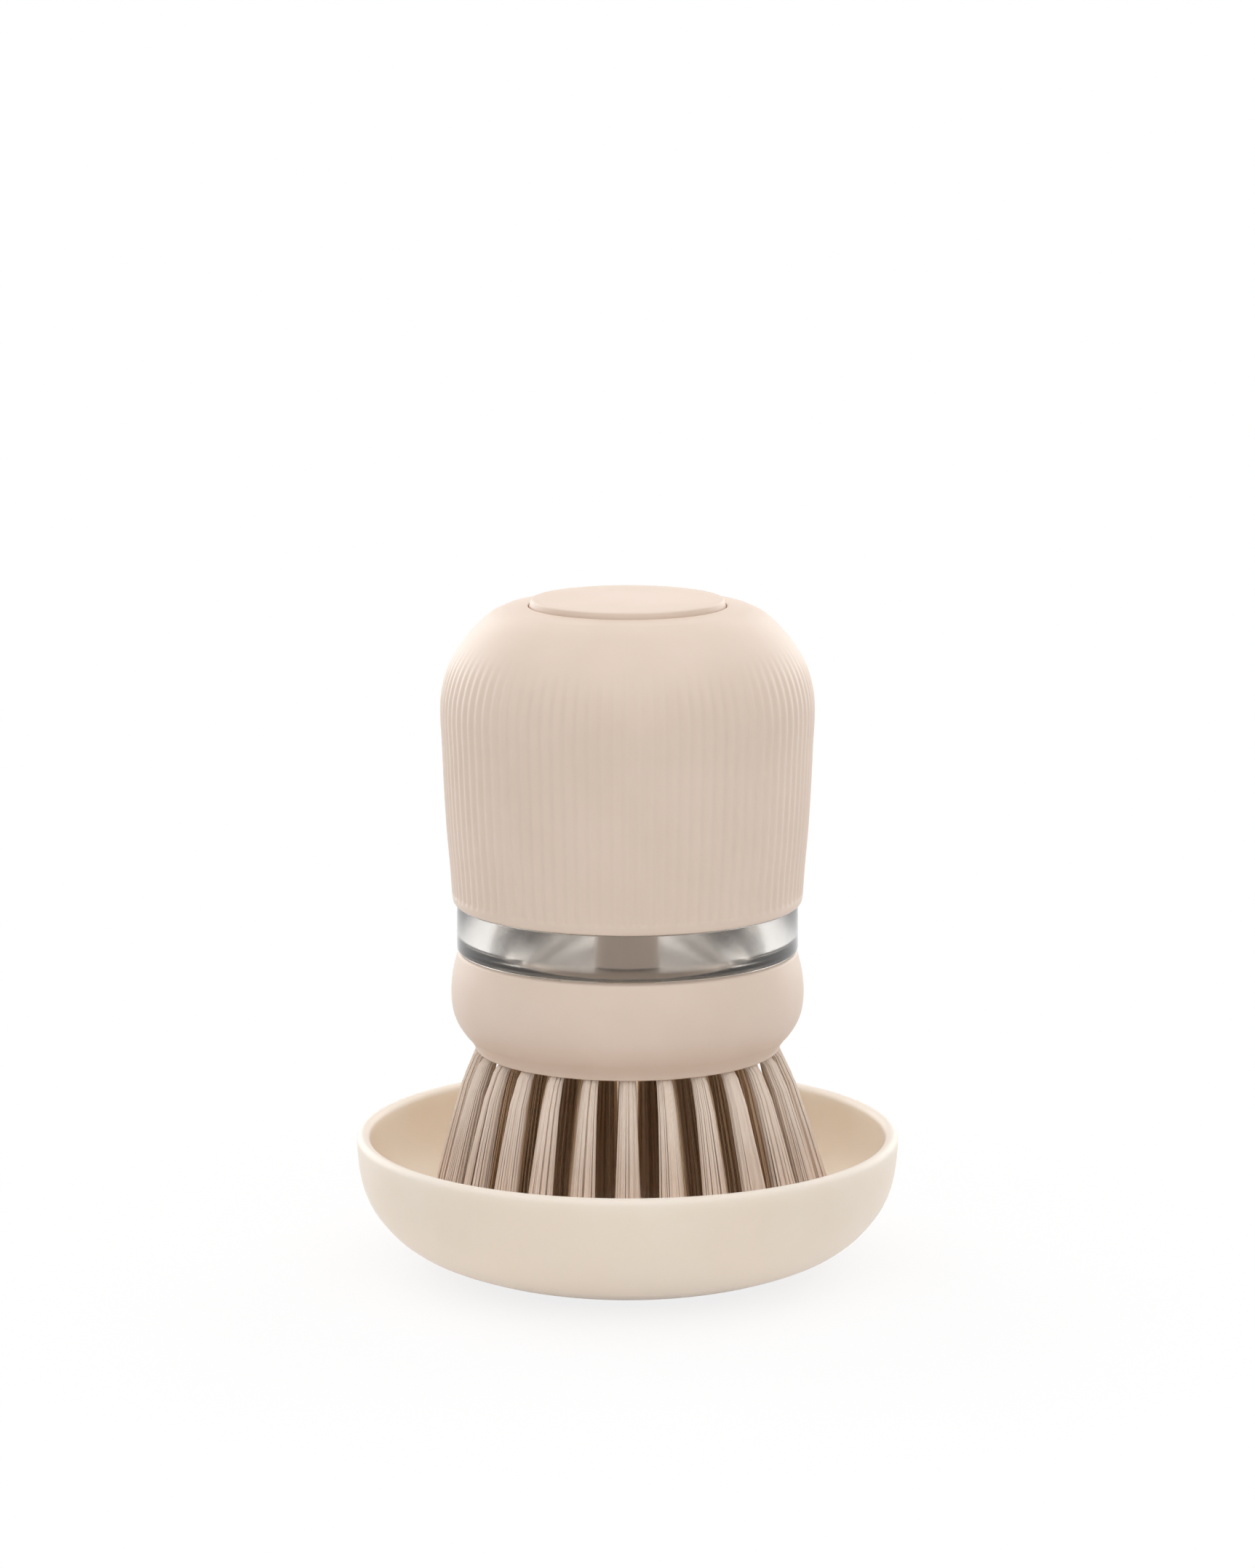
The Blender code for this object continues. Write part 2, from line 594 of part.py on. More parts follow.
def flute_strength(height):
    """How deep the flutes are at a height of the grip, from 0 to 1."""
    share = (height - GRIP_Z) / GRIP_HEIGHT
    foot = (share - FLUTE_FOOT_SHARE) / (FLUTE_FULL_SHARE - FLUTE_FOOT_SHARE)
    fade = (FLUTE_END_SHARE - share) / (FLUTE_END_SHARE - FLUTE_FADE_SHARE)
    return max(0.0, min(1.0, foot, fade))


def flute(piece, body):
    """Press a flute into every second column, and thin out the plain crown's columns."""
    base = body.matrix_world.translation.z
    column_angle = math.pi / FLUTE_COUNT
    crown_z = GRIP_Z + FLUTE_END_SHARE * GRIP_HEIGHT - base
    shape = bmesh.new()
    shape.from_mesh(piece.data)
    columns = {}
    for vert in shape.verts:
        radius = vert.co.xy.length
        if radius < MERGE_DISTANCE:
            continue
        columns[vert] = round(math.atan2(vert.co.y, vert.co.x) / column_angle)
        if columns[vert] % 2:
            depth = FLUTE_DEPTH * flute_strength(vert.co.z + base)
            vert.co.xy *= (radius - depth) / radius
    spare = []
    for edge in shape.edges:
        in_crown = min(vert.co.z for vert in edge.verts) > crown_z - MERGE_DISTANCE
        edge_columns = {columns[vert] for vert in edge.verts if vert in columns}
        if in_crown and len(edge_columns) == 1 and edge_columns.pop() % CROWN_COLUMN_SKIP:
            spare.append(edge)
    bmesh.ops.dissolve_edges(shape, edges=spare, use_verts=True)
    shape.to_mesh(piece.data)
    shape.free()


def make_grip_shell(body):
    """The fluted knob, hollowed to one wall, with a bead that holds the liner."""
    outline = [(0, GRIP_TOP_Z)] + list(reversed(GRIP_SIDE)) + [(0, GRIP_Z)]
    shell = frozen(turned("grip_shell", outline, body, 2 * FLUTE_COUNT))
    flute(shell, body)

    bead_top = SLEEVE_Z - SEAT_GAP
    bead_low = bead_top - SNAP_BEAD_HEIGHT
    bead_radius = SLEEVE_RADIUS + SEAT_GAP - SNAP_BEAD_DEPTH / 2
    mouth_top = GRIP_Z + GRIP_WALL
    mouth_radius = radius_at(GRIP_INNER_SIDE, mouth_top)
    below = [p for p in GRIP_INNER_SIDE if mouth_top < p[1] < bead_low - SNAP_BEAD_HEIGHT]
    above = [p for p in GRIP_INNER_SIDE if p[1] > bead_top + SNAP_BEAD_HEIGHT and p[0] > CROWN_RADIUS]
    bevel_radius = OPENING_RADIUS + OPENING_BEVEL
    cavity = [
        (0, GRIP_TOP_Z + CUT_OVERRUN), (bevel_radius, GRIP_TOP_Z + CUT_OVERRUN),
        (bevel_radius, GRIP_TOP_Z), (OPENING_RADIUS, GRIP_TOP_Z - OPENING_BEVEL),
        (OPENING_RADIUS, CROWN_UNDERSIDE_Z), (CROWN_RADIUS, CROWN_UNDERSIDE_Z),
    ]
    cavity += list(reversed(above))
    cavity += [
        (radius_at(GRIP_INNER_SIDE, bead_top), bead_top), (bead_radius, bead_top),
        (bead_radius, bead_low), (radius_at(GRIP_INNER_SIDE, bead_low), bead_low),
    ]
    cavity += list(reversed(below))
    cavity += [(mouth_radius, mouth_top), (mouth_radius, GRIP_Z - CUT_OVERRUN), (0, GRIP_Z - CUT_OVERRUN)]
    combine(shell, place_cutter(turned("grip_cavity", cavity, body, BODY_FACETS), body), "DIFFERENCE")
    place(shell, body, cream_plastic)


def make_liner(body):
    """The lid inside the grip: sleeve over the neck, plate, and the button's guide ring."""
    guide_top = BUTTON_FLANGE_Z
    outline = [
        (GUIDE_RADIUS, guide_top), (GUIDE_RADIUS, PLATE_TOP_Z), (SLEEVE_RADIUS, PLATE_TOP_Z),
        (SLEEVE_RADIUS, SLEEVE_Z), (SLEEVE_BORE_RADIUS, SLEEVE_Z), (SLEEVE_BORE_RADIUS, PLATE_Z),
        (BARREL_HOLE_RADIUS, PLATE_Z), (BARREL_HOLE_RADIUS, PLATE_TOP_Z),
        (GUIDE_BORE_RADIUS, PLATE_TOP_Z), (GUIDE_BORE_RADIUS, guide_top),
    ]
    liner = turned("grip_liner", outline, body, BODY_FACETS)
    lug_z = NECK_TOP_Z - UPPER_LUG_DROP
    cut_channels(liner, body, SLEEVE_BORE_RADIUS, lug_z, SLEEVE_Z, -LOCK_ANGLE)

    holes = bmesh.new()
    base = body.matrix_world.translation.z
    middle_z = (PLATE_Z + PLATE_TOP_Z) / 2 - base
    depth = PLATE_THICKNESS + 2 * CUT_OVERRUN
    air_offset = (VENT_STEM_RADIUS + VENT_UMBRELLA_RADIUS) / 2
    spots = (
        (0, VENT_STEM_RADIUS + SEAT_GAP), (-air_offset, VENT_HOLE_RADIUS), (air_offset, VENT_HOLE_RADIUS),
    )
    for shift, radius in spots:
        bmesh.ops.create_cone(
            holes, cap_ends=True, segments=SMALL_FACETS // 2, radius1=radius, radius2=radius,
            depth=depth, matrix=Matrix.Translation((shift, VENT_OFFSET, middle_z)),
        )
    mesh = bpy.data.meshes.new("vent_holes")
    holes.to_mesh(mesh)
    holes.free()
    combine(liner, place_cutter(bpy.data.objects.new("vent_holes", mesh), body), "DIFFERENCE")
    place(liner, body, block_plastic)


def make_vent(body):
    """The umbrella valve in the liner's plate."""
    umbrella_top = PLATE_Z - SEAT_GAP
    bead_low = PLATE_TOP_Z + SEAT_GAP
    outline = [
        (0, bead_low + VENT_BEAD_THICKNESS), (VENT_STEM_RADIUS, bead_low + VENT_BEAD_THICKNESS),
        (VENT_BEAD_RADIUS, bead_low), (VENT_STEM_RADIUS, bead_low), (VENT_STEM_RADIUS, umbrella_top),
        (VENT_UMBRELLA_RADIUS, umbrella_top), (VENT_STEM_RADIUS, umbrella_top - VENT_UMBRELLA_THICKNESS),
        (0, umbrella_top - VENT_UMBRELLA_THICKNESS),
    ]
    valve = turned("vent_valve", outline, body, SMALL_FACETS)
    valve.location.y = VENT_OFFSET
    place(valve, body, silicone)


def make_barrel(body):
    """The pump barrel that hangs from the liner, its nut and the rod's wiper ring."""
    flange_radius = BARREL_RADIUS + BARREL_FLANGE_REACH
    seat_z = PLATE_TOP_Z + SEAT_GAP
    seal_z = FLANGE_TOP_Z - ROD_SEAL_HEIGHT
    lip_top = seal_z - SEAT_GAP
    lip_low = lip_top - BARREL_LIP_THICKNESS
    outline = [
        (flange_radius, FLANGE_TOP_Z), (flange_radius, seat_z), (BARREL_RADIUS, seat_z),
        (BARREL_RADIUS, BARREL_FOOT_Z), (BARREL_BORE_RADIUS, BARREL_FOOT_Z),
        (BARREL_BORE_RADIUS, lip_low), (BARREL_LIP_RADIUS, lip_low), (BARREL_LIP_RADIUS, lip_top),
        (BARREL_BORE_RADIUS, lip_top), (BARREL_BORE_RADIUS, FLANGE_TOP_Z),
    ]
    barrel = turned("pump_barrel", outline, body, BARREL_FACETS)
    windows = bmesh.new()
    base = body.matrix_world.translation.z
    sill = BARREL_FOOT_Z + INTAKE_RISE - base
    for angle in INTAKE_ANGLES:
        size = Matrix.Diagonal((BARREL_RADIUS, INTAKE_WIDTH, INTAKE_HEIGHT, 1))
        shift = Matrix.Translation((BARREL_RADIUS, 0, sill + INTAKE_HEIGHT / 2))
        bmesh.ops.create_cube(windows, size=1, matrix=Matrix.Rotation(angle, 4, "Z") @ shift @ size)
    mesh = bpy.data.meshes.new("intake_windows")
    windows.to_mesh(mesh)
    windows.free()
    combine(barrel, place_cutter(bpy.data.objects.new("intake_windows", mesh), body), "DIFFERENCE")
    place(barrel, body, cream_plastic)

    nut_top = PLATE_Z - SEAT_GAP
    nut = turned(
        "barrel_nut", [(0, nut_top), (NUT_RADIUS, nut_top), (NUT_RADIUS, nut_top - NUT_THICKNESS),
                       (0, nut_top - NUT_THICKNESS)], body, NUT_SIDES,
    )
    bore = turned(
        "nut_bore", [(0, nut_top + CUT_OVERRUN), (BARREL_HOLE_RADIUS, nut_top + CUT_OVERRUN),
                     (BARREL_HOLE_RADIUS, nut_top - NUT_THICKNESS - CUT_OVERRUN),
                     (0, nut_top - NUT_THICKNESS - CUT_OVERRUN)], body, BARREL_FACETS,
    )
    combine(nut, place_cutter(bore, body), "DIFFERENCE")
    place(nut, body, block_plastic)

    seal = ring_outline(ROD_PASSAGE_RADIUS, BARREL_BORE_RADIUS - SEAT_GAP, seal_z, FLANGE_TOP_Z)
    place(turned("rod_seal", seal, body, SMALL_FACETS), body, silicone)


def make_gasket(body):
    """The splash ring that the liner's guide ring holds under the crown."""
    radius = GUIDE_BORE_RADIUS + GUIDE_WALL / 2
    outline = ring_outline(OPENING_RADIUS, radius, GASKET_TOP_Z - GASKET_THICKNESS, GASKET_TOP_Z)
    place(turned("button_gasket", outline, body, SEAL_FACETS), body, silicone)


def make_button(body):
    """The push button, with its retaining flange and the socket for the rod."""
    skirt_bore = BUTTON_RADIUS - BUTTON_SIDE_WALL
    flange_low = BUTTON_FLANGE_Z - BUTTON_FLANGE_THICKNESS
    socket_bore = ROD_RADIUS + SEAT_GAP
    socket_radius = socket_bore + ROD_SOCKET_WALL
    socket_low = FLANGE_TOP_Z + BUTTON_TRAVEL + SEAT_GAP
    socket_top = BUTTON_UNDERSIDE_Z
    outline = [
        (0, BUTTON_EDGE_Z + BUTTON_CROWN), (BUTTON_RADIUS / 2, BUTTON_EDGE_Z + BUTTON_CROWN * 3 / 4),
        (BUTTON_RADIUS, BUTTON_EDGE_Z), (BUTTON_RADIUS, BUTTON_FLANGE_Z),
        (BUTTON_FLANGE_RADIUS, BUTTON_FLANGE_Z), (BUTTON_FLANGE_RADIUS, flange_low),
        (skirt_bore, flange_low), (skirt_bore, BUTTON_UNDERSIDE_Z),
        (socket_radius, BUTTON_UNDERSIDE_Z), (socket_radius, socket_low),
        (socket_bore, socket_low), (socket_bore, socket_top), (0, socket_top),
    ]
    cap = turned("button_cap", rounded(outline, {2}, BUTTON_EDGE_ROUND), body, BODY_FACETS)
    place(cap, body, cream_plastic)


def make_plunger(body):
    """The rod under the button, and the silicone cup on its foot."""
    rod_top = BUTTON_UNDERSIDE_Z - SEAT_GAP
    foot_top = PISTON_Z - SEAT_GAP
    foot_low = foot_top - ROD_FOOT_THICKNESS
    collar_low = PISTON_Z + PISTON_WEB_THICKNESS + SEAT_GAP
    collar_top = collar_low + ROD_FOOT_THICKNESS
    outline = [
        (0, rod_top), (ROD_RADIUS, rod_top), (ROD_RADIUS, collar_top), (ROD_FOOT_RADIUS, collar_top),
        (ROD_FOOT_RADIUS, collar_low), (ROD_RADIUS, collar_low), (ROD_RADIUS, foot_top),
        (ROD_FOOT_RADIUS, foot_top), (ROD_FOOT_RADIUS, foot_low), (0, foot_low),
    ]
    place(turned("plunger_rod", outline, body, SMALL_FACETS), body, block_plastic)

    piston_top = PISTON_Z + PISTON_HEIGHT
    web_top = PISTON_Z + PISTON_WEB_THICKNESS
    piston = [
        (PISTON_RADIUS, piston_top), (PISTON_RADIUS, PISTON_Z), (ROD_PASSAGE_RADIUS, PISTON_Z),
        (ROD_PASSAGE_RADIUS, web_top), (PISTON_LIP_BORE_RADIUS, web_top),
        (PISTON_LIP_BORE_RADIUS, piston_top),
    ]
    place(turned("piston_seal", piston, body, SMALL_FACETS), body, silicone)


def spring_points():
    """The wire's middle line: a coil whose two ends run straight for one diameter."""
    low = FLANGE_TOP_Z + SEAT_GAP
    high = BUTTON_UNDERSIDE_Z - SEAT_GAP
    coil_low = low + SPRING_WIRE * 3 / 2
    coil_high = high - SPRING_WIRE * 3 / 2
    count = SPRING_TURNS * SPRING_POINTS_PER_TURN
    points = [Vector((SPRING_RADIUS, 0, low))]
    for number in range(count + 1):
        angle = math.tau * number / SPRING_POINTS_PER_TURN
        height = coil_low + (coil_high - coil_low) * number / count
        points.append(Vector((SPRING_RADIUS * math.cos(angle), SPRING_RADIUS * math.sin(angle), height)))
    points.append(Vector((SPRING_RADIUS, 0, high)))
    return points


def least_gap(points, width, span):
    """The least gap between stretches of a tube that are a span of points apart."""
    gaps = []
    for first in range(len(points)):
        for last in range(first + span, len(points)):
            gaps.append((points[first] - points[last]).length - width)
    return min(gaps)


def make_spring(body):
    base = body.matrix_world.translation.z
    points = spring_points()
    curve = bpy.data.curves.new("return_spring", "CURVE")
    curve.dimensions = "3D"
    curve.bevel_depth = SPRING_WIRE / 2
    curve.bevel_resolution = SPRING_BEVEL_RESOLUTION
    curve.use_fill_caps = True
    spline = curve.splines.new("POLY")
    spline.points.add(len(points) - 1)
    for knot, point in zip(spline.points, points):
        knot.co = (point.x, point.y, point.z - base, 1)
    gap = least_gap(points, SPRING_WIRE, SPRING_POINTS_PER_TURN // 2)
    print("return_spring least gap to itself:", round(gap * 1000, 2), "mm")
    place(bpy.data.objects.new("return_spring", curve), body, spring_steel)


for old in list(bpy.data.objects):
    bpy.data.objects.remove(old)

brush = bpy.data.collections.new("soap_dispensing_dish_brush")
cutters = bpy.data.collections.new("cutters")
bpy.context.scene.collection.children.link(brush)
bpy.context.scene.collection.children.link(cutters)

cream_plastic = make_material("cream_abs", "#E2D0BE", 0.42)
block_plastic = make_material("pale_polypropylene", "#D8CCBE", 0.5)
bristle_nylon = make_material("bristle_nylon", "#C9B79F", 0.5)
clear_plastic = make_material("clear_tritan", "#F4F6F4", 0.06, transmission=1.0)
silicone = make_material("silicone", "#D9D4CC", 0.6)
spring_steel = make_material("stainless_spring_wire", "#B9BABA", 0.3, metallic=1.0)

dish = add_body("dish_body", 0, None)
head = add_body("head_body", COLLAR_Z, dish)
lower_ring = add_body("lower_seal_body", WELL_FLOOR_Z, head)
cup = add_body("reservoir_body", COLLAR_TOP_Z, lower_ring)
upper_ring = add_body("upper_seal_body", NECK_TOP_Z, cup)
grip = add_body("grip_body", GRIP_Z, upper_ring)
button = add_body("button_body", GRIP_TOP_Z, grip)

make_dish(dish)
make_head(head)
make_bristles(head)
seal_ring(
    "lower_seal", SKIRT_BORE_RADIUS + SEAL_SIDE_GAP, SKIRT_RADIUS - SEAL_SIDE_GAP,
    WELL_FLOOR_Z + SEAT_GAP, LOWER_SEAL_THICKNESS, lower_ring,
)
make_reservoir(cup)
make_outlet(cup)
seal_ring(
    "upper_seal", NECK_BORE_RADIUS + SEAL_SIDE_GAP, NECK_RADIUS - SEAL_SIDE_GAP,
    NECK_TOP_Z + SEAT_GAP, UPPER_SEAL_THICKNESS, upper_ring,
)
make_grip_shell(grip)
make_liner(grip)
make_vent(grip)
make_barrel(grip)
make_gasket(grip)
make_button(button)
make_plunger(button)
make_spring(button)
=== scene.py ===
"""Looks of a soap dispensing dish brush in its drip dish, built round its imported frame.

Scene units are metres, +Z up, and the front faces -Y. Outlines are written in millimetres, as
(radius, height) or (radius, height, rounding of that corner), in the frame's own coordinates.
"""

import math
import random

import bmesh
import bpy
from mathutils import Matrix, Vector
from mathutils.geometry import interpolate_bezier


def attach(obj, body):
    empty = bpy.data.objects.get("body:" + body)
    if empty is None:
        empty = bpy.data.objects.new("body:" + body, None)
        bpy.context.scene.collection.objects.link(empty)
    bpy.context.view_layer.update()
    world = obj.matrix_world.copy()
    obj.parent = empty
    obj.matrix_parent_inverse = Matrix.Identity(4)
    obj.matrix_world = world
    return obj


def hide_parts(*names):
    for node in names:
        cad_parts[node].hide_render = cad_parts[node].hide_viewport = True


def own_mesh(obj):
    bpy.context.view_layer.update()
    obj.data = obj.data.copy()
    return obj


MM = 0.001
MERGE_DISTANCE = 0.008 * MM
SHARP_ANGLE = math.radians(40)
STRAIGHT_ANGLE = math.radians(179)
ROUND_STEPS = 256  # steps round the outer pieces
LUGS = 3  # of each bayonet

# The photograph: a 7000 px focal length in a frame 2156 px tall, from 10.4 degrees above level
FRAME_TALL = 2156
FOCAL_PIXELS = 7000
SENSOR = 36
CAMERA_DISTANCE = 892 * MM
CAMERA_ELEVATION = math.radians(10.4)
CAMERA_TARGET = Vector((0, 0, 86.4 * MM))

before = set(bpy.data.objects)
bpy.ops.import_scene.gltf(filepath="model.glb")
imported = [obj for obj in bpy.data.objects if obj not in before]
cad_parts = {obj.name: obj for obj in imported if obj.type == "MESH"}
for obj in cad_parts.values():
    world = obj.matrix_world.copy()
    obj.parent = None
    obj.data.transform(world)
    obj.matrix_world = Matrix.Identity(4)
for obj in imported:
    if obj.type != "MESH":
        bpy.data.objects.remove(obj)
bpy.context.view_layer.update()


# Materials

def linear_colour(hex_colour):
    """The linear colour of an sRGB hex value."""
    values = [int(hex_colour[i:i + 2], 16) / 255 for i in (1, 3, 5)]
    curve = [v / 12.92 if v <= 0.04045 else ((v + 0.055) / 1.055) ** 2.4 for v in values]
    return (*curve, 1.0)


def add_node(tree, kind, inputs=(), **settings):
    """Add a node with its settings, and set or link each named or numbered input."""
    node = tree.nodes.new(kind)
    for name, value in settings.items():
        setattr(node, name, value)
    for name, value in inputs:
        if isinstance(value, bpy.types.NodeSocket):
            tree.links.new(value, node.inputs[name])
        else:
            node.inputs[name].default_value = value
    return node


def start_material(name):
    """An empty material, its node tree and its Object coordinates."""
    material = bpy.data.materials.new(name)
    material.use_nodes = True
    tree = material.node_tree
    tree.nodes.clear()
    return material, tree, add_node(tree, "ShaderNodeTexCoord").outputs["Object"]


def mould_plastic(name, light, dark, roughness, translucency, light_depth):
    """Plastic moulded in a spark-eroded mould: ABS, or polypropylene inside and in the dish.

    To the eye: an even satin skin with a hardly visible cloudiness from the melt's flow, a grain
    that softens the highlights, and edges that handling has rubbed a little glossier. Light goes
    light_depth millimetres into it, furthest in the dish, whose wall glows a little against it.
    The dish's copy is given lighter tones than the rest: painted light for the extra light on it.
    """
    material, tree, place = start_material(name)
    # Flow clouds 14 mm wide
    clouds = add_node(
        tree, "ShaderNodeTexNoise", [("Vector", place), ("Scale", 1 / (14 * MM)), ("Detail", 3.0)],
    )
    cloudy = add_node(
        tree, "ShaderNodeMapRange",
        [("Value", clouds.outputs[0]), ("From Min", 0.35), ("From Max", 0.65)],
    )
    colour = add_node(
        tree, "ShaderNodeMix",
        [(0, cloudy.outputs[0]), (6, linear_colour(dark)), (7, linear_colour(light))],
        data_type="RGBA",
    )
    # The mould's grain is 0.1 mm wide and is drawn 0.35 mm wide, so that it shows
    grain = add_node(
        tree, "ShaderNodeTexNoise",
        [("Vector", place), ("Scale", 1 / (0.35 * MM)), ("Detail", 2.0)],
    )
    bump = add_node(
        tree, "ShaderNodeBump",
        [("Strength", 0.1), ("Distance", 0.03 * MM), ("Height", grain.outputs[0])],
    )
    surface = add_node(tree, "ShaderNodeNewGeometry")
    rubbed = add_node(
        tree, "ShaderNodeMapRange",
        [("Value", surface.outputs["Pointiness"]), ("From Min", 0.5), ("From Max", 0.6),
         ("To Min", roughness), ("To Max", roughness - 0.1)],
    )
    uneven = add_node(
        tree, "ShaderNodeMath",
        [(0, cloudy.outputs[0]), (1, 0.03), (2, rubbed.outputs[0])], operation="MULTIPLY_ADD",
    )
    skin = add_node(
        tree, "ShaderNodeBsdfPrincipled",
        [("Base Color", colour.outputs[2]), ("Roughness", uneven.outputs[0]), ("IOR", 1.5),
         ("Subsurface Weight", translucency), ("Subsurface Radius", (1.0, 0.96, 0.92)),
         ("Subsurface Scale", light_depth * MM), ("Normal", bump.outputs[0])],
    )
    add_node(tree, "ShaderNodeOutputMaterial", [(0, skin.outputs[0])])
    return material


def clear_copolyester():
    """Clear copolyester, moulded in a polished mould.

    To the eye: glassy and colourless, with faint waves where the thick wall sank as it cooled and
    a breath of dried water spots. Lamps shine through it onto what stands inside.
    """
    material, tree, place = start_material("polished_copolyester")
    # Sink waves 7 mm wide
    waves = add_node(
        tree, "ShaderNodeTexNoise", [("Vector", place), ("Scale", 1 / (7 * MM)), ("Detail", 1.0)],
    )
    bump = add_node(
        tree, "ShaderNodeBump",
        [("Strength", 0.25), ("Distance", 0.05 * MM), ("Height", waves.outputs[0])],
    )
    # Dried drops 1.2 mm wide
    drops = add_node(
        tree, "ShaderNodeTexVoronoi", [("Vector", place), ("Scale", 1 / (1.2 * MM))],
    )
    spotted = add_node(
        tree, "ShaderNodeMapRange",
        [("Value", drops.outputs["Distance"]), ("From Min", 0.1), ("From Max", 0.35),
         ("To Min", 0.17), ("To Max", 0.12)],
    )
    glass = add_node(
        tree, "ShaderNodeBsdfPrincipled",
        [("Base Color", linear_colour("#FFFBF6")), ("Roughness", spotted.outputs[0]), ("IOR", 1.52),
         ("Transmission Weight", 1.0), ("Normal", bump.outputs[0])],
    )
    path = add_node(tree, "ShaderNodeLightPath")
    through = add_node(tree, "ShaderNodeBsdfTransparent", [("Color", linear_colour("#FBFBFA"))])
    mix = add_node(
        tree, "ShaderNodeMixShader",
        [(0, path.outputs["Is Shadow Ray"]), (1, glass.outputs[0]), (2, through.outputs[0])],
    )
    add_node(tree, "ShaderNodeOutputMaterial", [(0, mix.outputs[0])])
    return material


def drawn_nylon(name, dark, light):
    """Drawn nylon filament in tufts.

    To the eye: a beige with a soft sheen along each filament, one filament a little lighter or
    darker than the next, and a paler, frayed last stretch at the trimmed tips.
    """
    material, tree, place = start_material(name)
    stretched = add_node(
        tree, "ShaderNodeMapping", [("Vector", place), ("Scale", (1.0, 1.0, 0.02))],
    )
    # Filaments 0.3 mm thick; the pattern is stretched fifty times along them
    strands = add_node(
        tree, "ShaderNodeTexNoise",
        [("Vector", stretched.outputs[0]), ("Scale", 1 / (0.6 * MM)), ("Detail", 1.0)],
    )
    shade = add_node(
        tree, "ShaderNodeMapRange",
        [("Value", strands.outputs[0]), ("From Min", 0.3), ("From Max", 0.7)],
    )
    colour = add_node(
        tree, "ShaderNodeMix",
        [(0, shade.outputs[0]), (6, linear_colour(dark)), (7, linear_colour(light))],
        data_type="RGBA",
    )
    height = add_node(tree, "ShaderNodeSeparateXYZ", [(0, place)])
    tips = add_node(
        tree, "ShaderNodeMapRange",
        [("Value", height.outputs["Z"]), ("From Min", 11 * MM), ("From Max", 7 * MM)],
    )
    frayed = add_node(
        tree, "ShaderNodeMix",
        [(0, tips.outputs[0]), (6, colour.outputs[2]), (7, linear_colour("#FCF0E3"))],
        data_type="RGBA",
    )
    rough = add_node(
        tree, "ShaderNodeMapRange",
        [("Value", strands.outputs[0]), ("From Min", 0.3), ("From Max", 0.7),
         ("To Min", 0.52), ("To Max", 0.68)],
    )
    filament = add_node(
        tree, "ShaderNodeBsdfPrincipled",
        [("Base Color", frayed.outputs[2]), ("Roughness", rough.outputs[0]), ("IOR", 1.53)],
    )
    add_node(tree, "ShaderNodeOutputMaterial", [(0, filament.outputs[0])])
    return material


def moulded_silicone():
    """Compression moulded silicone rubber.

    To the eye: soft and milky with no clear highlight, and a dusty bloom in patches.
    """
    material, tree, place = start_material("moulded_silicone")
    # Patches of bloom 2.5 mm wide
    bloom = add_node(
        tree, "ShaderNodeTexNoise", [("Vector", place), ("Scale", 1 / (2.5 * MM)), ("Detail", 4.0)],
    )
    colour = add_node(
        tree, "ShaderNodeMix",
        [(0, bloom.outputs[0]), (6, linear_colour("#CFCBC2")), (7, linear_colour("#E2DFD8"))],
        data_type="RGBA",
    )
    rough = add_node(
        tree, "ShaderNodeMapRange",
        [("Value", bloom.outputs[0]), ("From Min", 0.3), ("From Max", 0.7),
         ("To Min", 0.5), ("To Max", 0.72)],
    )
    bump = add_node(
        tree, "ShaderNodeBump",
        [("Strength", 0.15), ("Distance", 0.02 * MM), ("Height", bloom.outputs[0])],
    )
    rubber = add_node(
        tree, "ShaderNodeBsdfPrincipled",
        [("Base Color", colour.outputs[2]), ("Roughness", rough.outputs[0]), ("IOR", 1.41),
         ("Subsurface Weight", 0.3), ("Subsurface Radius", (1.0, 0.9, 0.8)),
         ("Subsurface Scale", 0.8 * MM), ("Normal", bump.outputs[0])],
    )
    add_node(tree, "ShaderNodeOutputMaterial", [(0, rubber.outputs[0])])
    return material


def drawn_steel():
    """Stainless spring wire, drawn through a die.

    To the eye: bright grey metal with dull and bright patches from the coiling tool.
    """
    material, tree, place = start_material("drawn_spring_wire")
    # Tool marks 0.3 mm apart
    marks = add_node(
        tree, "ShaderNodeTexNoise", [("Vector", place), ("Scale", 1 / (0.3 * MM)), ("Detail", 3.0)],
    )
    colour = add_node(
        tree, "ShaderNodeMix",
        [(0, marks.outputs[0]), (6, linear_colour("#A9AAAB")), (7, linear_colour("#C8C9C9"))],
        data_type="RGBA",
    )
    rough = add_node(
        tree, "ShaderNodeMapRange",
        [("Value", marks.outputs[0]), ("From Min", 0.3), ("From Max", 0.7),
         ("To Min", 0.2), ("To Max", 0.36)],
    )
    wire = add_node(
        tree, "ShaderNodeBsdfPrincipled",
        [("Base Color", colour.outputs[2]), ("Roughness", rough.outputs[0]), ("Metallic", 1.0)],
    )
    add_node(tree, "ShaderNodeOutputMaterial", [(0, wire.outputs[0])])
    return material


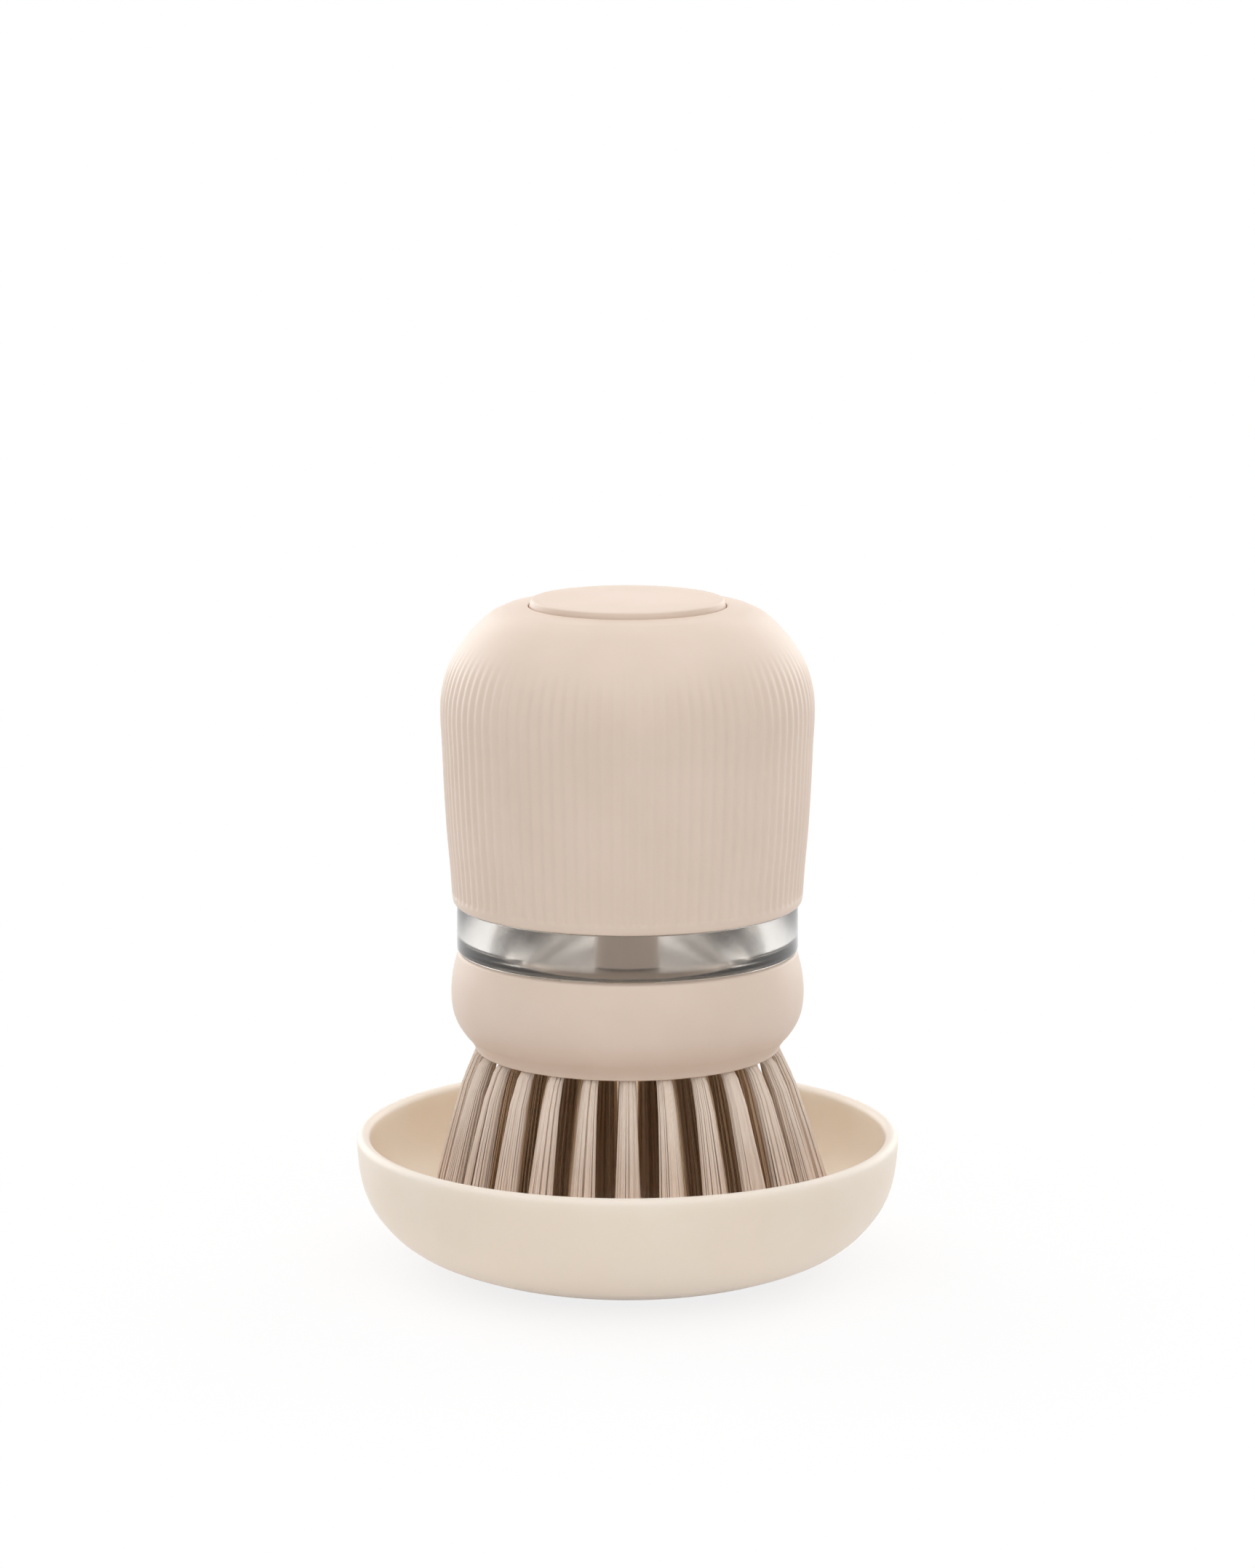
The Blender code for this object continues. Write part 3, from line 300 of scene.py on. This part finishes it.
# Of each plastic: its name, light and dark tone, roughness, translucency and light depth
finishes = {
    "cream_plastic": mould_plastic("moulded_abs", "#EAD6C6", "#E6D2C1", 0.46, 0.12, 0.9),
    # The dish's tones are a lighter copy of the cream plastic: painted light for the extra light
    # that falls on the dish.
    "dish_tone_painted_light": mould_plastic(
        "moulded_dish_painted_light", "#FEE8D8", "#FCE5D4", 0.46, 0.8, 5.0,
    ),
    "pale_plastic": mould_plastic("moulded_polypropylene", "#E2D5C5", "#DDCFBE", 0.5, 0.2, 0.9),
    "bristle_nylon": drawn_nylon("drawn_nylon_filament", "#F3E2D2", "#F7E9DC"),
    # The inner tufts get a warmer, deeper copy of the nylon: painted shade for the dim, warm light
    # deep among the tufts.
    "core_painted_shade_nylon": drawn_nylon("drawn_nylon_filament_painted_shade", "#F6D9B6", "#FBE3C6"),
    "clear_plastic": clear_copolyester(),
    "silicone": moulded_silicone(),
    "spring_steel": drawn_steel(),
}


# Making of the pieces

def smooth_line(points, steps):
    """A line that runs smoothly through the points, with this many steps from each to the next."""
    spots = [Vector(point) for point in points]
    slopes = [(spots[1] - spots[0]).normalized()]
    for before, after in zip(spots, spots[2:]):
        slopes.append((after - before).normalized())
    slopes.append((spots[-1] - spots[-2]).normalized())
    line = []
    for here, after, slope, slope_after in zip(spots, spots[1:], slopes, slopes[1:]):
        reach = (after - here).length / 3
        stretch = interpolate_bezier(
            here, here + slope * reach, after - slope_after * reach, after, steps + 1,
        )
        line += [tuple(point) for point in stretch[:-1]]
    return line + [tuple(points[-1])]


def draw_outline(outline):
    """A closed wire in the XZ plane, with its corners rounded. It is open along the axis."""
    shape = bmesh.new()
    knots = [shape.verts.new((point[0] * MM, 0, point[1] * MM)) for point in outline]
    for first, last in zip(knots, knots[1:]):
        shape.edges.new((first, last))
    if outline[0][0] > 0:
        shape.edges.new((knots[-1], knots[0]))
    corners = {}
    for knot, point in zip(knots, outline):
        if len(point) > 2:
            corners.setdefault(point[2], []).append(knot)
    for rounding, group in corners.items():
        bmesh.ops.bevel(
            shape, geom=group, offset=rounding * MM, offset_type="OFFSET", segments=4, profile=0.5,
            affect="VERTICES", clamp_overlap=True, material=-1,
        )
    return shape


def spin(shape, steps):
    """Turn a wire all the way round the axis."""
    bmesh.ops.spin(
        shape, geom=shape.verts[:] + shape.edges[:], cent=(0, 0, 0), axis=(0, 0, 1),
        angle=math.tau, steps=steps, use_merge=True,
    )
    return shape


def turned(outline, steps=ROUND_STEPS):
    """An outline turned all the way round the axis."""
    return spin(draw_outline(outline), steps)


def section_of(node, column_angle, rounding, axis_y=0.0):
    """The rounded outline of a turned CAD node, cut through its axis along a column of vertices."""
    shape = bmesh.new()
    shape.from_mesh(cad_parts[node].data)
    bmesh.ops.remove_doubles(shape, verts=shape.verts, dist=MERGE_DISTANCE)
    bmesh.ops.translate(shape, verts=shape.verts, vec=(0, -axis_y, 0))
    turn = Matrix.Rotation(-math.radians(column_angle), 3, "Z")
    bmesh.ops.rotate(shape, verts=shape.verts, cent=(0, 0, 0), matrix=turn)
    for normal, clear_front in (((1, 0, 0), False), ((0, 1, 0), True)):
        bmesh.ops.bisect_plane(
            shape, geom=shape.verts[:] + shape.edges[:] + shape.faces[:], dist=0.1 * MERGE_DISTANCE,
            plane_co=(0, 0, 0), plane_no=normal, clear_inner=True, clear_outer=clear_front,
        )
    bmesh.ops.remove_doubles(shape, verts=shape.verts, dist=MERGE_DISTANCE)
    straight = []
    corners = []
    for vert in shape.verts:
        vert.co.y = 0
        if len(vert.link_edges) != 2:
            continue
        first, last = (edge.other_vert(vert).co - vert.co for edge in vert.link_edges)
        if first.angle(last) > STRAIGHT_ANGLE:
            straight.append(vert)
        elif vert.co.x > MERGE_DISTANCE:
            corners.append(vert)
    bmesh.ops.dissolve_verts(shape, verts=straight)
    bmesh.ops.bevel(
        shape, geom=corners, offset=rounding * MM, offset_type="OFFSET", segments=3, profile=0.5,
        affect="VERTICES", clamp_overlap=True, material=-1,
    )
    return shape


def ring_sectors(inner, outer, low, high, start, end, rounding=0.0):
    """A sector of a ring for each lug, from its start to its end angle, each a closed body."""
    shape = bmesh.new()
    for number in range(LUGS):
        turn = Matrix.Rotation(math.radians(start + 360 / LUGS * number), 3, "Z")
        corners = ((inner, low), (outer, low), (outer, high), (inner, high))
        rim = [shape.verts.new(turn @ Vector((r * MM, 0, z * MM))) for r, z in corners]
        bmesh.ops.spin(
            shape, geom=[shape.faces.new(rim)], cent=(0, 0, 0), axis=(0, 0, 1),
            angle=math.radians(end - start), steps=max(6, round(end - start)),
        )
    bmesh.ops.recalc_face_normals(shape, faces=shape.faces)
    if rounding:
        edges = [e for e in shape.edges if e.calc_face_angle(0) > SHARP_ANGLE]
        bmesh.ops.bevel(
            shape, geom=edges, offset=rounding * MM, offset_type="OFFSET", segments=2, profile=0.5,
            affect="EDGES", clamp_overlap=True, material=-1,
        )
    return shape


def set_out(name, data):
    """A new object in the scene, with this mesh, lamp or camera."""
    thing = bpy.data.objects.new(name, data)
    bpy.context.scene.collection.objects.link(thing)
    return thing


def solid(name, shape):
    """An object of a closed shape, with its seam and poles closed and its faces outwards."""
    bmesh.ops.remove_doubles(shape, verts=shape.verts, dist=MERGE_DISTANCE)
    bmesh.ops.recalc_face_normals(shape, faces=shape.faces)
    mesh = bpy.data.meshes.new(name)
    shape.to_mesh(mesh)
    shape.free()
    return set_out(name, mesh)


def start_strands(name, radius, resolution):
    """An empty curve for round strands of this radius in millimetres, with closed ends."""
    curve = bpy.data.curves.new(name, "CURVE")
    curve.dimensions = "3D"
    curve.bevel_depth = radius * MM
    curve.bevel_resolution = resolution
    curve.use_fill_caps = True
    return curve


def draw_strand(curve, line):
    """One strand along points in millimetres."""
    spline = curve.splines.new("POLY")
    spline.points.add(len(line) - 1)
    for knot, (x, y, z) in zip(spline.points, line):
        knot.co = (x * MM, y * MM, z * MM, 1)


def finish_strands(name, curve):
    """An object with the mesh of the strands."""
    bundle = bpy.data.objects.new(name, curve)
    mesh = bpy.data.meshes.new_from_object(bundle)
    bpy.data.objects.remove(bundle)
    mesh.name = name
    return set_out(name, mesh)


def carve(piece, shape, operation="DIFFERENCE"):
    """Cut a shape out of a piece for good, or join it to the piece."""
    tool = solid("carving_tool", shape)
    modifier = piece.modifiers.new("Carve", "BOOLEAN")
    modifier.object = tool
    modifier.operation = operation
    modifier.solver = "EXACT"
    graph = bpy.context.evaluated_depsgraph_get()
    carved = bpy.data.meshes.new_from_object(piece.evaluated_get(graph))
    piece.modifiers.clear()
    rough = piece.data
    piece.data = carved
    carved.name = piece.name
    bpy.data.meshes.remove(rough)
    bpy.data.objects.remove(tool)


def dress(piece, body, finish, *nodes):
    """Give a piece its shading, finish and the body it rides on, and hide the nodes it replaces."""
    piece.data.materials.clear()
    piece.data.materials.append(finishes[finish])
    piece.data.shade_smooth()
    piece.data.set_sharp_from_angle(angle=SHARP_ANGLE)
    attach(piece, body)
    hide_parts(*nodes)


# Drip dish

DISH_OUTER = [
    (24.6, 0), (29.1, 1.15), (33.05, 2.39), (37.89, 4.41), (40.91, 6.4), (43.01, 8.4),
    (45.31, 11.39), (46.7, 14.41), (47.5, 17.7), (47.9, 21.8),
]
DISH_INNER = [
    (45.64, 21.8), (45.3, 18.2), (44.5, 15.12), (43.33, 12.59), (41.3, 9.94), (39.47, 8.21),
    (36.8, 6.45), (32.3, 4.57), (27.4, 3.25), (22.18, 2.6),
]
LIP_MIDDLE = Vector((46.77, 22.86))
LIP_RADIUS = 1.14
LIP_STEPS = 12


def make_drip_dish():
    """The bowl: its side, the half round lip, and its inside."""
    lip = []
    for step in range(LIP_STEPS + 1):
        angle = math.pi * step / LIP_STEPS
        lip.append(tuple(LIP_MIDDLE + LIP_RADIUS * Vector((math.cos(angle), math.sin(angle)))))
    outline = [(0, 0)] + smooth_line(DISH_OUTER, 4) + lip + smooth_line(DISH_INNER, 4) + [(0, 2.6)]
    # Its finish is the lighter copy of the cream plastic: painted light.
    dress(solid("dish_bowl", turned(outline)), "dish", "dish_tone_painted_light", "drip_dish")


# Brush head

COLLAR_SIDE = [
    (26.88, 39.55), (27.2, 40.4), (27.95, 41.5), (28.83, 42.5), (30.05, 44.4), (30.75, 46.3),
    (31.03, 48.3), (31.05, 50.4), (30.71, 53.39), (29.81, 57.0),
]
# Of each ring: its size as a share of the outer ring, its tufts, and the filaments in each
TUFT_RINGS = ((1.0, 25, 150), (0.785, 19, 96), (0.57, 13, 70), (0.355, 7, 60))
TUFT_ROOT_RING = 24.4
# From 0 at the hole to 1 at the tips: the outer ring's radius there, and the tuft's
TUFT_STATIONS = (
    (0.0, TUFT_ROOT_RING, 1.2), (0.06, 25.95, 1.3), (0.2, 27.7, 1.5), (0.45, 29.75, 1.83),
    (0.7, 31.6, 2.15), (1.0, 33.2, 2.55),
)
TUFT_ROOT_Z = 39.9
TUFT_TIP_Z = 6.9
TUFT_STRAY = (0.12, 0.22)  # of a tuft's tip, outwards and sideways
RIGHT_TUFT_BEND = 1.9  # how much further out the tufts on the right end
FILAMENT_RADIUS = 0.15
FILAMENT_STRAY = 0.12
TRIM_STRAY = 0.25
GOLDEN_ANGLE = math.radians(137.508)


def make_collar():
    """The rounded ring of the head, with its deck and the bayonet's entries and locking legs."""
    side = smooth_line(COLLAR_SIDE, 5)
    outline = [(26.217, 39.4, 0.15), (26.7, 39.4, 0.1)] + side[:-1]
    outline += [
        (29.81, 57.0, 0.5), (28.011, 57.0, 0.35), (28.011, 45.9, 0.2), (24.411, 45.9, 0.2),
        (24.411, 51.0, 0.4), (5.4, 51.0, 0.3), (5.4, 49.2, 0.3), (22.211, 49.2, 0.5),
        (22.211, 44.4, 0.3), (26.217, 44.4, 0.3),
    ]
    collar = solid("collar_ring", turned(outline))
    carve(collar, ring_sectors(27.0, 28.911, 49.7, 58.0, -6.5, 6.5))
    carve(collar, ring_sectors(27.0, 28.911, 49.7, 52.3, -6.5, 51.5))
    dress(collar, "head", "cream_plastic", "head_collar")


def tuft_line(share, spread, angle, lean):
    """Points of one filament: from its hole in the brush face down to its trimmed tip."""
    line = []
    for t, ring, bundle in TUFT_STATIONS:
        across = spread * bundle + lean * t * t
        ring_spot = Vector((share * ring, 0)) + across
        turned_spot = Matrix.Rotation(angle, 2) @ ring_spot
        turned_spot.x += RIGHT_TUFT_BEND * share * t * max(0.0, math.cos(angle)) ** 3
        line.append((*turned_spot, TUFT_ROOT_Z + (TUFT_TIP_Z - TUFT_ROOT_Z) * t))
    return line


def make_tufts(name, rings, finish):
    """The filaments of whole rings of tufts. Each tuft fans out and leans outwards."""
    chance = random.Random(name)
    curve = start_strands(name, FILAMENT_RADIUS, 0)
    for share, tufts, filaments in rings:
        for tuft in range(tufts):
            angle = math.tau * tuft / tufts - math.pi / 2
            tuft_lean = Vector([chance.gauss(0, stray) for stray in TUFT_STRAY])
            for number in range(filaments):
                reach = ((number + 0.5) / filaments) ** 0.4
                spoke = number * GOLDEN_ANGLE + chance.gauss(0, 0.25)
                spread = reach * Vector((math.cos(spoke), math.sin(spoke)))
                stray = Vector([chance.gauss(0, FILAMENT_STRAY) for _ in range(2)])
                line = tuft_line(share, spread, angle, tuft_lean + stray)
                x, y, z = line[-1]
                line[-1] = (x, y, z + chance.uniform(-TRIM_STRAY, TRIM_STRAY))
                draw_strand(curve, line)
    dress(finish_strands(name, curve), "head", finish, "bristles")


def make_tuft_plate():
    """The plate's face, with a low rim round each tuft's hole."""
    plate = turned(
        [(5.4, 39.6, 0.25), (25.917, 39.6, 0.25), (25.917, 40.8, 0.2), (5.4, 40.8, 0.2)], 192,
    )
    rim = [(1.75, 39.9), (1.75, 39.55, 0.1), (1.45, 39.3, 0.15), (1.3, 39.3, 0.1), (1.3, 39.9)]
    for share, tufts, _ in TUFT_RINGS:
        for tuft in range(tufts):
            angle = math.tau * tuft / tufts - math.pi / 2
            hole = turned(rim, 20)
            shift = TUFT_ROOT_RING * share * MM * Vector((math.cos(angle), math.sin(angle), 0))
            bmesh.ops.translate(hole, verts=hole.verts, vec=shift)
            mesh = bpy.data.meshes.new("rim")
            hole.to_mesh(mesh)
            hole.free()
            plate.from_mesh(mesh)
            bpy.data.meshes.remove(mesh)
    dress(solid("tuft_plate", plate), "head", "pale_plastic", "bristles")


# Clear reservoir with its outlet

def make_reservoir():
    """The clear cup with its nozzle, its clear band, and a bayonet lug at each end of its wall."""
    outline = [
        (24.784, 101.0, 0.3), (26.784, 101.0, 0.3), (26.784, 65.55, 0.2), (29.984, 65.55, 0.15),
        (29.984, 57.3, 0.3), (27.611, 57.3, 0.3), (27.611, 47.9, 0.3), (24.811, 47.9, 0.3),
        (24.811, 51.3, 0.3), (3.6, 51.3, 0.4), (3.6, 43.0, 0.2), (2.0, 43.0, 0.2),
        (2.0, 53.1, 0.4), (18.584, 53.1, 0.6), (24.784, 57.5, 2.0),
    ]
    cup = solid("clear_cup", turned(outline))
    carve(cup, ring_sectors(26.611, 28.611, 50.0, 52.0, -5, 5, 0.25), "UNION")
    carve(cup, ring_sectors(25.784, 27.784, 95.0, 97.0, -5, 5, 0.25), "UNION")
    dress(cup, "cup", "clear_plastic", "reservoir")


def make_duckbill():
    """The outlet valve: a round flange whose spout is pressed flat into two lips."""
    shape = spin(section_of("outlet_valve", 0, 0.12), 48)
    root = 41.2 * MM
    lips = 37.6 * MM
    for vert in shape.verts:
        if vert.co.z < root:
            press = (root - vert.co.z) / (root - lips)
            vert.co.x *= 1 + 1.1 * press
            vert.co.y *= 1 - 0.7 * press
    dress(solid("duckbill_valve", shape), "cup", "silicone", "outlet_valve")


# Grip

GRIP_SIDE = [
    (30.45, 65.75), (30.68, 66.15), (30.8, 66.8), (30.88, 67.9), (31.22, 72.8), (31.7, 78.38),
    (32.15, 86.0), (32.48, 94.0), (32.73, 100.02), (32.3, 104.21), (30.85, 108.41),
    (28.0, 112.7), (24.3, 116.32), (21.6, 117.65),
]
GRIP_HOLLOW = [
    (23.15, 114.47), (26.5, 111.28), (29.01, 107.44), (30.22, 103.77), (30.55, 99.97),
    (30.45, 95.0), (30.05, 87.4),
]
FLUTES = 96
FLUTE_DEPTH = 0.27
COLUMNS_IN_FLUTE = 8
# The flutes' lower and upper ends, and the heights over which they fade in from them
FLUTE_FOOT, FLUTE_FOOT_FADE = 66.85, 1.05
FLUTE_TOP, FLUTE_TOP_FADE = 112.7, 8.5


def flute_strength(height):
    """How deep the flutes are at a height, from 0 at the plain lip and crown to 1."""
    from_foot = (height - FLUTE_FOOT) / FLUTE_FOOT_FADE
    from_top = (FLUTE_TOP - height) / FLUTE_TOP_FADE
    share = max(0.0, min(1.0, from_foot, from_top))
    return share * share * (3 - 2 * share)


def make_grip_shell():
    """One flute's width of the knob is spun, pressed in and then set round the axis."""
    side = smooth_line(GRIP_SIDE, 5)
    outline = side + [
        (17.45, 118.1, 0.1), (17.3, 117.95, 0.1), (17.3, 115.9, 0.25), (20.99, 115.9, 0.4),
    ]
    outline += smooth_line(GRIP_HOLLOW, 4)
    outline += [
        (29.234, 87.4, 0.25), (29.234, 86.2, 0.25), (30.0, 86.2), (29.7, 78.51), (28.89, 68.16),
        (28.85, 65.7, 0.25), (30.35, 65.7),
    ]
    shape = draw_outline(outline)
    depth = shape.verts.layers.float.new("flute_depth")
    for vert in shape.verts:
        radius, height = vert.co.x / MM, vert.co.z / MM
        on_side = any(abs(r - radius) < 0.01 and abs(z - height) < 0.01 for r, z in side)
        vert[depth] = FLUTE_DEPTH * flute_strength(height) if on_side else 0.0
    bmesh.ops.spin(
        shape, geom=shape.verts[:] + shape.edges[:], cent=(0, 0, 0), axis=(0, 0, 1),
        angle=math.tau / FLUTES, steps=COLUMNS_IN_FLUTE,
    )
    for vert in shape.verts:
        turn = math.atan2(vert.co.y, vert.co.x)
        pressed = vert[depth] * MM * (1 - math.cos(FLUTES * turn)) / 2
        vert.co.xy *= 1 - pressed / vert.co.xy.length
    bmesh.ops.spin(
        shape, geom=shape.verts[:] + shape.edges[:] + shape.faces[:], cent=(0, 0, 0),
        axis=(0, 0, 1), angle=math.tau * (FLUTES - 1) / FLUTES, steps=FLUTES - 1,
        use_duplicate=True,
    )
    dress(solid("fluted_knob", shape), "grip", "cream_plastic", "grip_shell")


def make_liner():
    """The lid inside the knob, with its bayonet channels and the vent's stem and air holes."""
    liner = solid("grip_lid", spin(section_of("grip_liner", 60, 0.25), 192))
    carve(liner, ring_sectors(26.0, 28.084, 86.0, 97.3, -6.5, 6.5))
    carve(liner, ring_sectors(26.0, 28.084, 94.7, 97.3, -51.5, 6.5))
    holes = bmesh.new()
    for shift, radius in ((0, 1.3), (-2.1, 0.6), (2.1, 0.6)):
        spot = Matrix.Translation((shift * MM, 13.6 * MM, 104.1 * MM))
        bmesh.ops.create_cone(
            holes, cap_ends=True, segments=32, radius1=radius * MM, radius2=radius * MM,
            depth=4 * MM, matrix=spot,
        )
    carve(liner, holes)
    dress(liner, "grip", "pale_plastic", "grip_liner")


def make_pump():
    """The pump barrel with its two intake windows, and the nut that holds it."""
    barrel = solid("pump_tube", spin(section_of("pump_barrel", 60, 0.2), 96))
    windows = bmesh.new()
    for angle in (40, 140):
        size = Matrix.Diagonal((5.7 * MM, 3 * MM, 2.5 * MM, 1))
        place = Matrix.Translation((5.7 * MM, 0, 58.75 * MM))
        turn = Matrix.Rotation(math.radians(angle), 4, "Z")
        bmesh.ops.create_cube(windows, size=1, matrix=turn @ place @ size)
    bmesh.ops.bevel(
        windows, geom=windows.edges[:], offset=0.5 * MM, offset_type="OFFSET", segments=3,
        profile=0.5, affect="EDGES", material=-1,
    )
    carve(barrel, windows)
    dress(barrel, "grip", "cream_plastic", "pump_barrel")

    nut_shape = bmesh.new()
    nut_place = Matrix.Translation((0, 0, 101.7 * MM)) @ Matrix.Rotation(math.pi / 6, 4, "Z")
    bmesh.ops.create_cone(
        nut_shape, cap_ends=True, segments=6, radius1=8.8 * MM, radius2=8.8 * MM,
        depth=2.2 * MM, matrix=nut_place,
    )
    bmesh.ops.bevel(
        nut_shape, geom=nut_shape.edges[:], offset=0.3 * MM, offset_type="OFFSET", segments=3,
        profile=0.5, affect="EDGES", material=-1,
    )
    nut = solid("hex_nut", nut_shape)
    bore = [
        (0, 99.6), (6.4, 99.6), (6.4, 100.6), (6.0, 101.0), (6.0, 102.4), (6.4, 102.8),
        (6.4, 103.8), (0, 103.8),
    ]
    carve(nut, turned(bore, 64))
    dress(nut, "grip", "pale_plastic", "barrel_nut")


COIL_RADIUS = 5.6
COIL_TURNS = 5
STEPS_IN_TURN = 36
COIL_FOOT = 107.3
COIL_RISE = 9.2


def make_spring():
    """A coil with a flatter turn at each end."""
    curve = start_strands("coil_spring", 0.4, 3)
    steps = STEPS_IN_TURN * COIL_TURNS
    line = []
    for number in range(steps + 1):
        turn = math.tau * number / STEPS_IN_TURN
        share = number / steps
        eased = share * share * (3 - 2 * share)
        height = COIL_FOOT + COIL_RISE * (0.35 * share + 0.65 * eased)
        line.append((COIL_RADIUS * math.cos(turn), COIL_RADIUS * math.sin(turn), height))
    draw_strand(curve, line)
    piece = finish_strands("coil_spring", curve)
    dress(piece, "button", "spring_steel", "return_spring")
    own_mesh(piece)


def make_button():
    """The push button, slightly domed, with a flange that keeps it in the knob."""
    outline = [
        (0, 119.3), (5.5, 119.29), (10.5, 119.27), (14.0, 119.24), (16.8, 119.2, 0.3),
        (17.15, 117.9), (16.993, 114.5, 0.2), (18.893, 114.5, 0.3), (18.893, 113.3, 0.3),
        (15.193, 113.3, 0.2), (15.193, 117.2, 0.6), (3.4, 117.2, 0.3), (3.4, 111.9, 0.2),
        (1.9, 111.9, 0.2), (1.9, 117.2), (0, 117.2),
    ]
    dress(solid("push_button", turned(outline, 192)), "button", "cream_plastic", "button_cap")


# Turned pieces that keep their CAD outline, with finer steps and soft corners:
# piece, node, body, finish, column angle, rounding, steps, distance of the axis behind the middle
TURNED_PIECES = (
    ("tuft_disc", "tuft_block", "head", "pale_plastic", 60, 0.25, 128, 0),
    ("lower_sealing_ring", "lower_seal", "lower_ring", "silicone", 60, 0.15, 128, 0),
    ("outlet_cap", "valve_retainer", "cup", "cream_plastic", 0, 0.2, 64, 0),
    ("upper_sealing_ring", "upper_seal", "upper_ring", "silicone", 60, 0.15, 128, 0),
    ("umbrella_vent", "vent_valve", "grip", "silicone", 0, 0.15, 48, 13.6 * MM),
    ("rod_wiper", "rod_seal", "grip", "silicone", 0, 0.2, 48, 0),
    ("splash_ring", "button_gasket", "grip", "silicone", 60, 0.15, 128, 0),
    ("push_rod", "plunger_rod", "button", "pale_plastic", 0, 0.2, 48, 0),
    ("piston_cup", "piston_seal", "button", "silicone", 0, 0.15, 64, 0),
)


# Camera, light and floor

def add_camera():
    """The camera that took the photograph."""
    data = bpy.data.cameras.new("photo_camera")
    data.sensor_width = SENSOR
    data.lens = FOCAL_PIXELS * SENSOR / FRAME_TALL
    data.clip_start = 10 * MM
    camera = set_out("photo_camera", data)
    back = Vector((0, -math.cos(CAMERA_ELEVATION), math.sin(CAMERA_ELEVATION)))
    camera.location = CAMERA_TARGET + back * CAMERA_DISTANCE
    camera.rotation_mode = "QUATERNION"
    camera.rotation_quaternion = (-back).to_track_quat("-Z", "Y")
    bpy.context.scene.camera = camera


def add_softbox(name, place, aim, size, power):
    """A square lamp of this size in metres and power in watts, turned towards its aim."""
    data = bpy.data.lights.new(name, "AREA")
    data.shape = "SQUARE"
    data.size = size
    data.energy = power
    lamp = set_out(name, data)
    lamp.location = place
    lamp.rotation_mode = "QUATERNION"
    lamp.rotation_quaternion = (Vector(aim) - Vector(place)).to_track_quat("-Z", "Y")


def background_rays(tree):
    """1 for rays that look at the background: straight, in a reflection or through the cup."""
    path = add_node(tree, "ShaderNodeLightPath")
    either = add_node(
        tree, "ShaderNodeMath",
        [(0, path.outputs["Is Camera Ray"]), (1, path.outputs["Is Transmission Ray"])],
        operation="MAXIMUM",
    )
    return add_node(
        tree, "ShaderNodeMath", [(0, either.outputs[0]), (1, path.outputs["Is Glossy Ray"])],
        operation="MAXIMUM",
    ).outputs[0]


def add_world(fill_strength):
    """Dim fill light all round. What looks at the background sees white."""
    world = bpy.data.worlds.new("white_cove")
    world.use_nodes = True
    bpy.context.scene.world = world
    tree = world.node_tree
    tree.nodes.clear()
    fill = add_node(
        tree, "ShaderNodeBackground", [("Color", (1, 1, 1, 1)), ("Strength", fill_strength)],
    )
    white = add_node(tree, "ShaderNodeBackground", [("Color", (1, 1, 1, 1)), ("Strength", 1.0)])
    mix = add_node(
        tree, "ShaderNodeMixShader",
        [(0, background_rays(tree)), (1, fill.outputs[0]), (2, white.outputs[0])],
    )
    add_node(tree, "ShaderNodeOutputWorld", [(0, mix.outputs[0])])


def add_table():
    """A white table top. It keeps the shadow near the dish and is plain white further out."""
    material, tree, place = start_material("white_laminate")
    reach = add_node(tree, "ShaderNodeVectorMath", [(0, place)], operation="LENGTH")
    far = add_node(
        tree, "ShaderNodeMapRange",
        [("Value", reach.outputs["Value"]), ("From Min", 0.05), ("From Max", 0.14),
         ("To Min", 0.82), ("To Max", 1.0)],
        interpolation_type="SMOOTHSTEP",
    )
    shown = add_node(
        tree, "ShaderNodeMath", [(0, background_rays(tree)), (1, far.outputs[0])],
        operation="MULTIPLY",
    )
    laminate = add_node(tree, "ShaderNodeBsdfDiffuse", [("Color", linear_colour("#FBFBFB"))])
    white = add_node(tree, "ShaderNodeEmission", [("Color", (1, 1, 1, 1)), ("Strength", 1.0)])
    mix = add_node(
        tree, "ShaderNodeMixShader",
        [(0, shown.outputs[0]), (1, laminate.outputs[0]), (2, white.outputs[0])],
    )
    add_node(tree, "ShaderNodeOutputMaterial", [(0, mix.outputs[0])])
    shape = bmesh.new()
    bmesh.ops.create_circle(shape, cap_ends=True, segments=96, radius=4)
    bmesh.ops.translate(shape, verts=shape.verts, vec=(0, 0, -0.02 * MM))
    mesh = bpy.data.meshes.new("table_top")
    shape.to_mesh(mesh)
    shape.free()
    mesh.materials.append(material)
    set_out("table_top", mesh)


add_camera()
add_world(0.14)
add_table()
add_softbox("overhead_softbox", (-0.02, -0.36, 1.26), (0, 0, 0.06), 2.8, 28.5)
add_softbox("low_softbox", (0.75, -0.85, 0.3), (0, 0, 0.05), 0.8, 0.5)
add_softbox("left_back_panel", (-0.6, 0.7, 0.3), (0, 0, 0.06), 0.8, 4.4)
add_softbox("right_back_panel", (0.6, 0.7, 0.3), (0, 0, 0.06), 0.8, 3.7)
bpy.context.scene.view_settings.view_transform = "Standard"

make_drip_dish()
make_collar()
make_tufts("outer_tufts", TUFT_RINGS[:1], "bristle_nylon")
# The inner rings wear the warmer copy of the nylon: painted shade.
make_tufts("inner_tufts", TUFT_RINGS[1:], "core_painted_shade_nylon")
make_tuft_plate()
make_reservoir()
make_duckbill()
make_grip_shell()
make_liner()
make_pump()
make_button()
make_spring()
for name, node, body, finish, column_angle, rounding, steps, axis_y in TURNED_PIECES:
    outline = section_of(node, column_angle, rounding, axis_y)
    spin(outline, steps)
    bmesh.ops.translate(outline, verts=outline.verts, vec=(0, axis_y, 0))
    dress(solid(name, outline), body, finish, node)
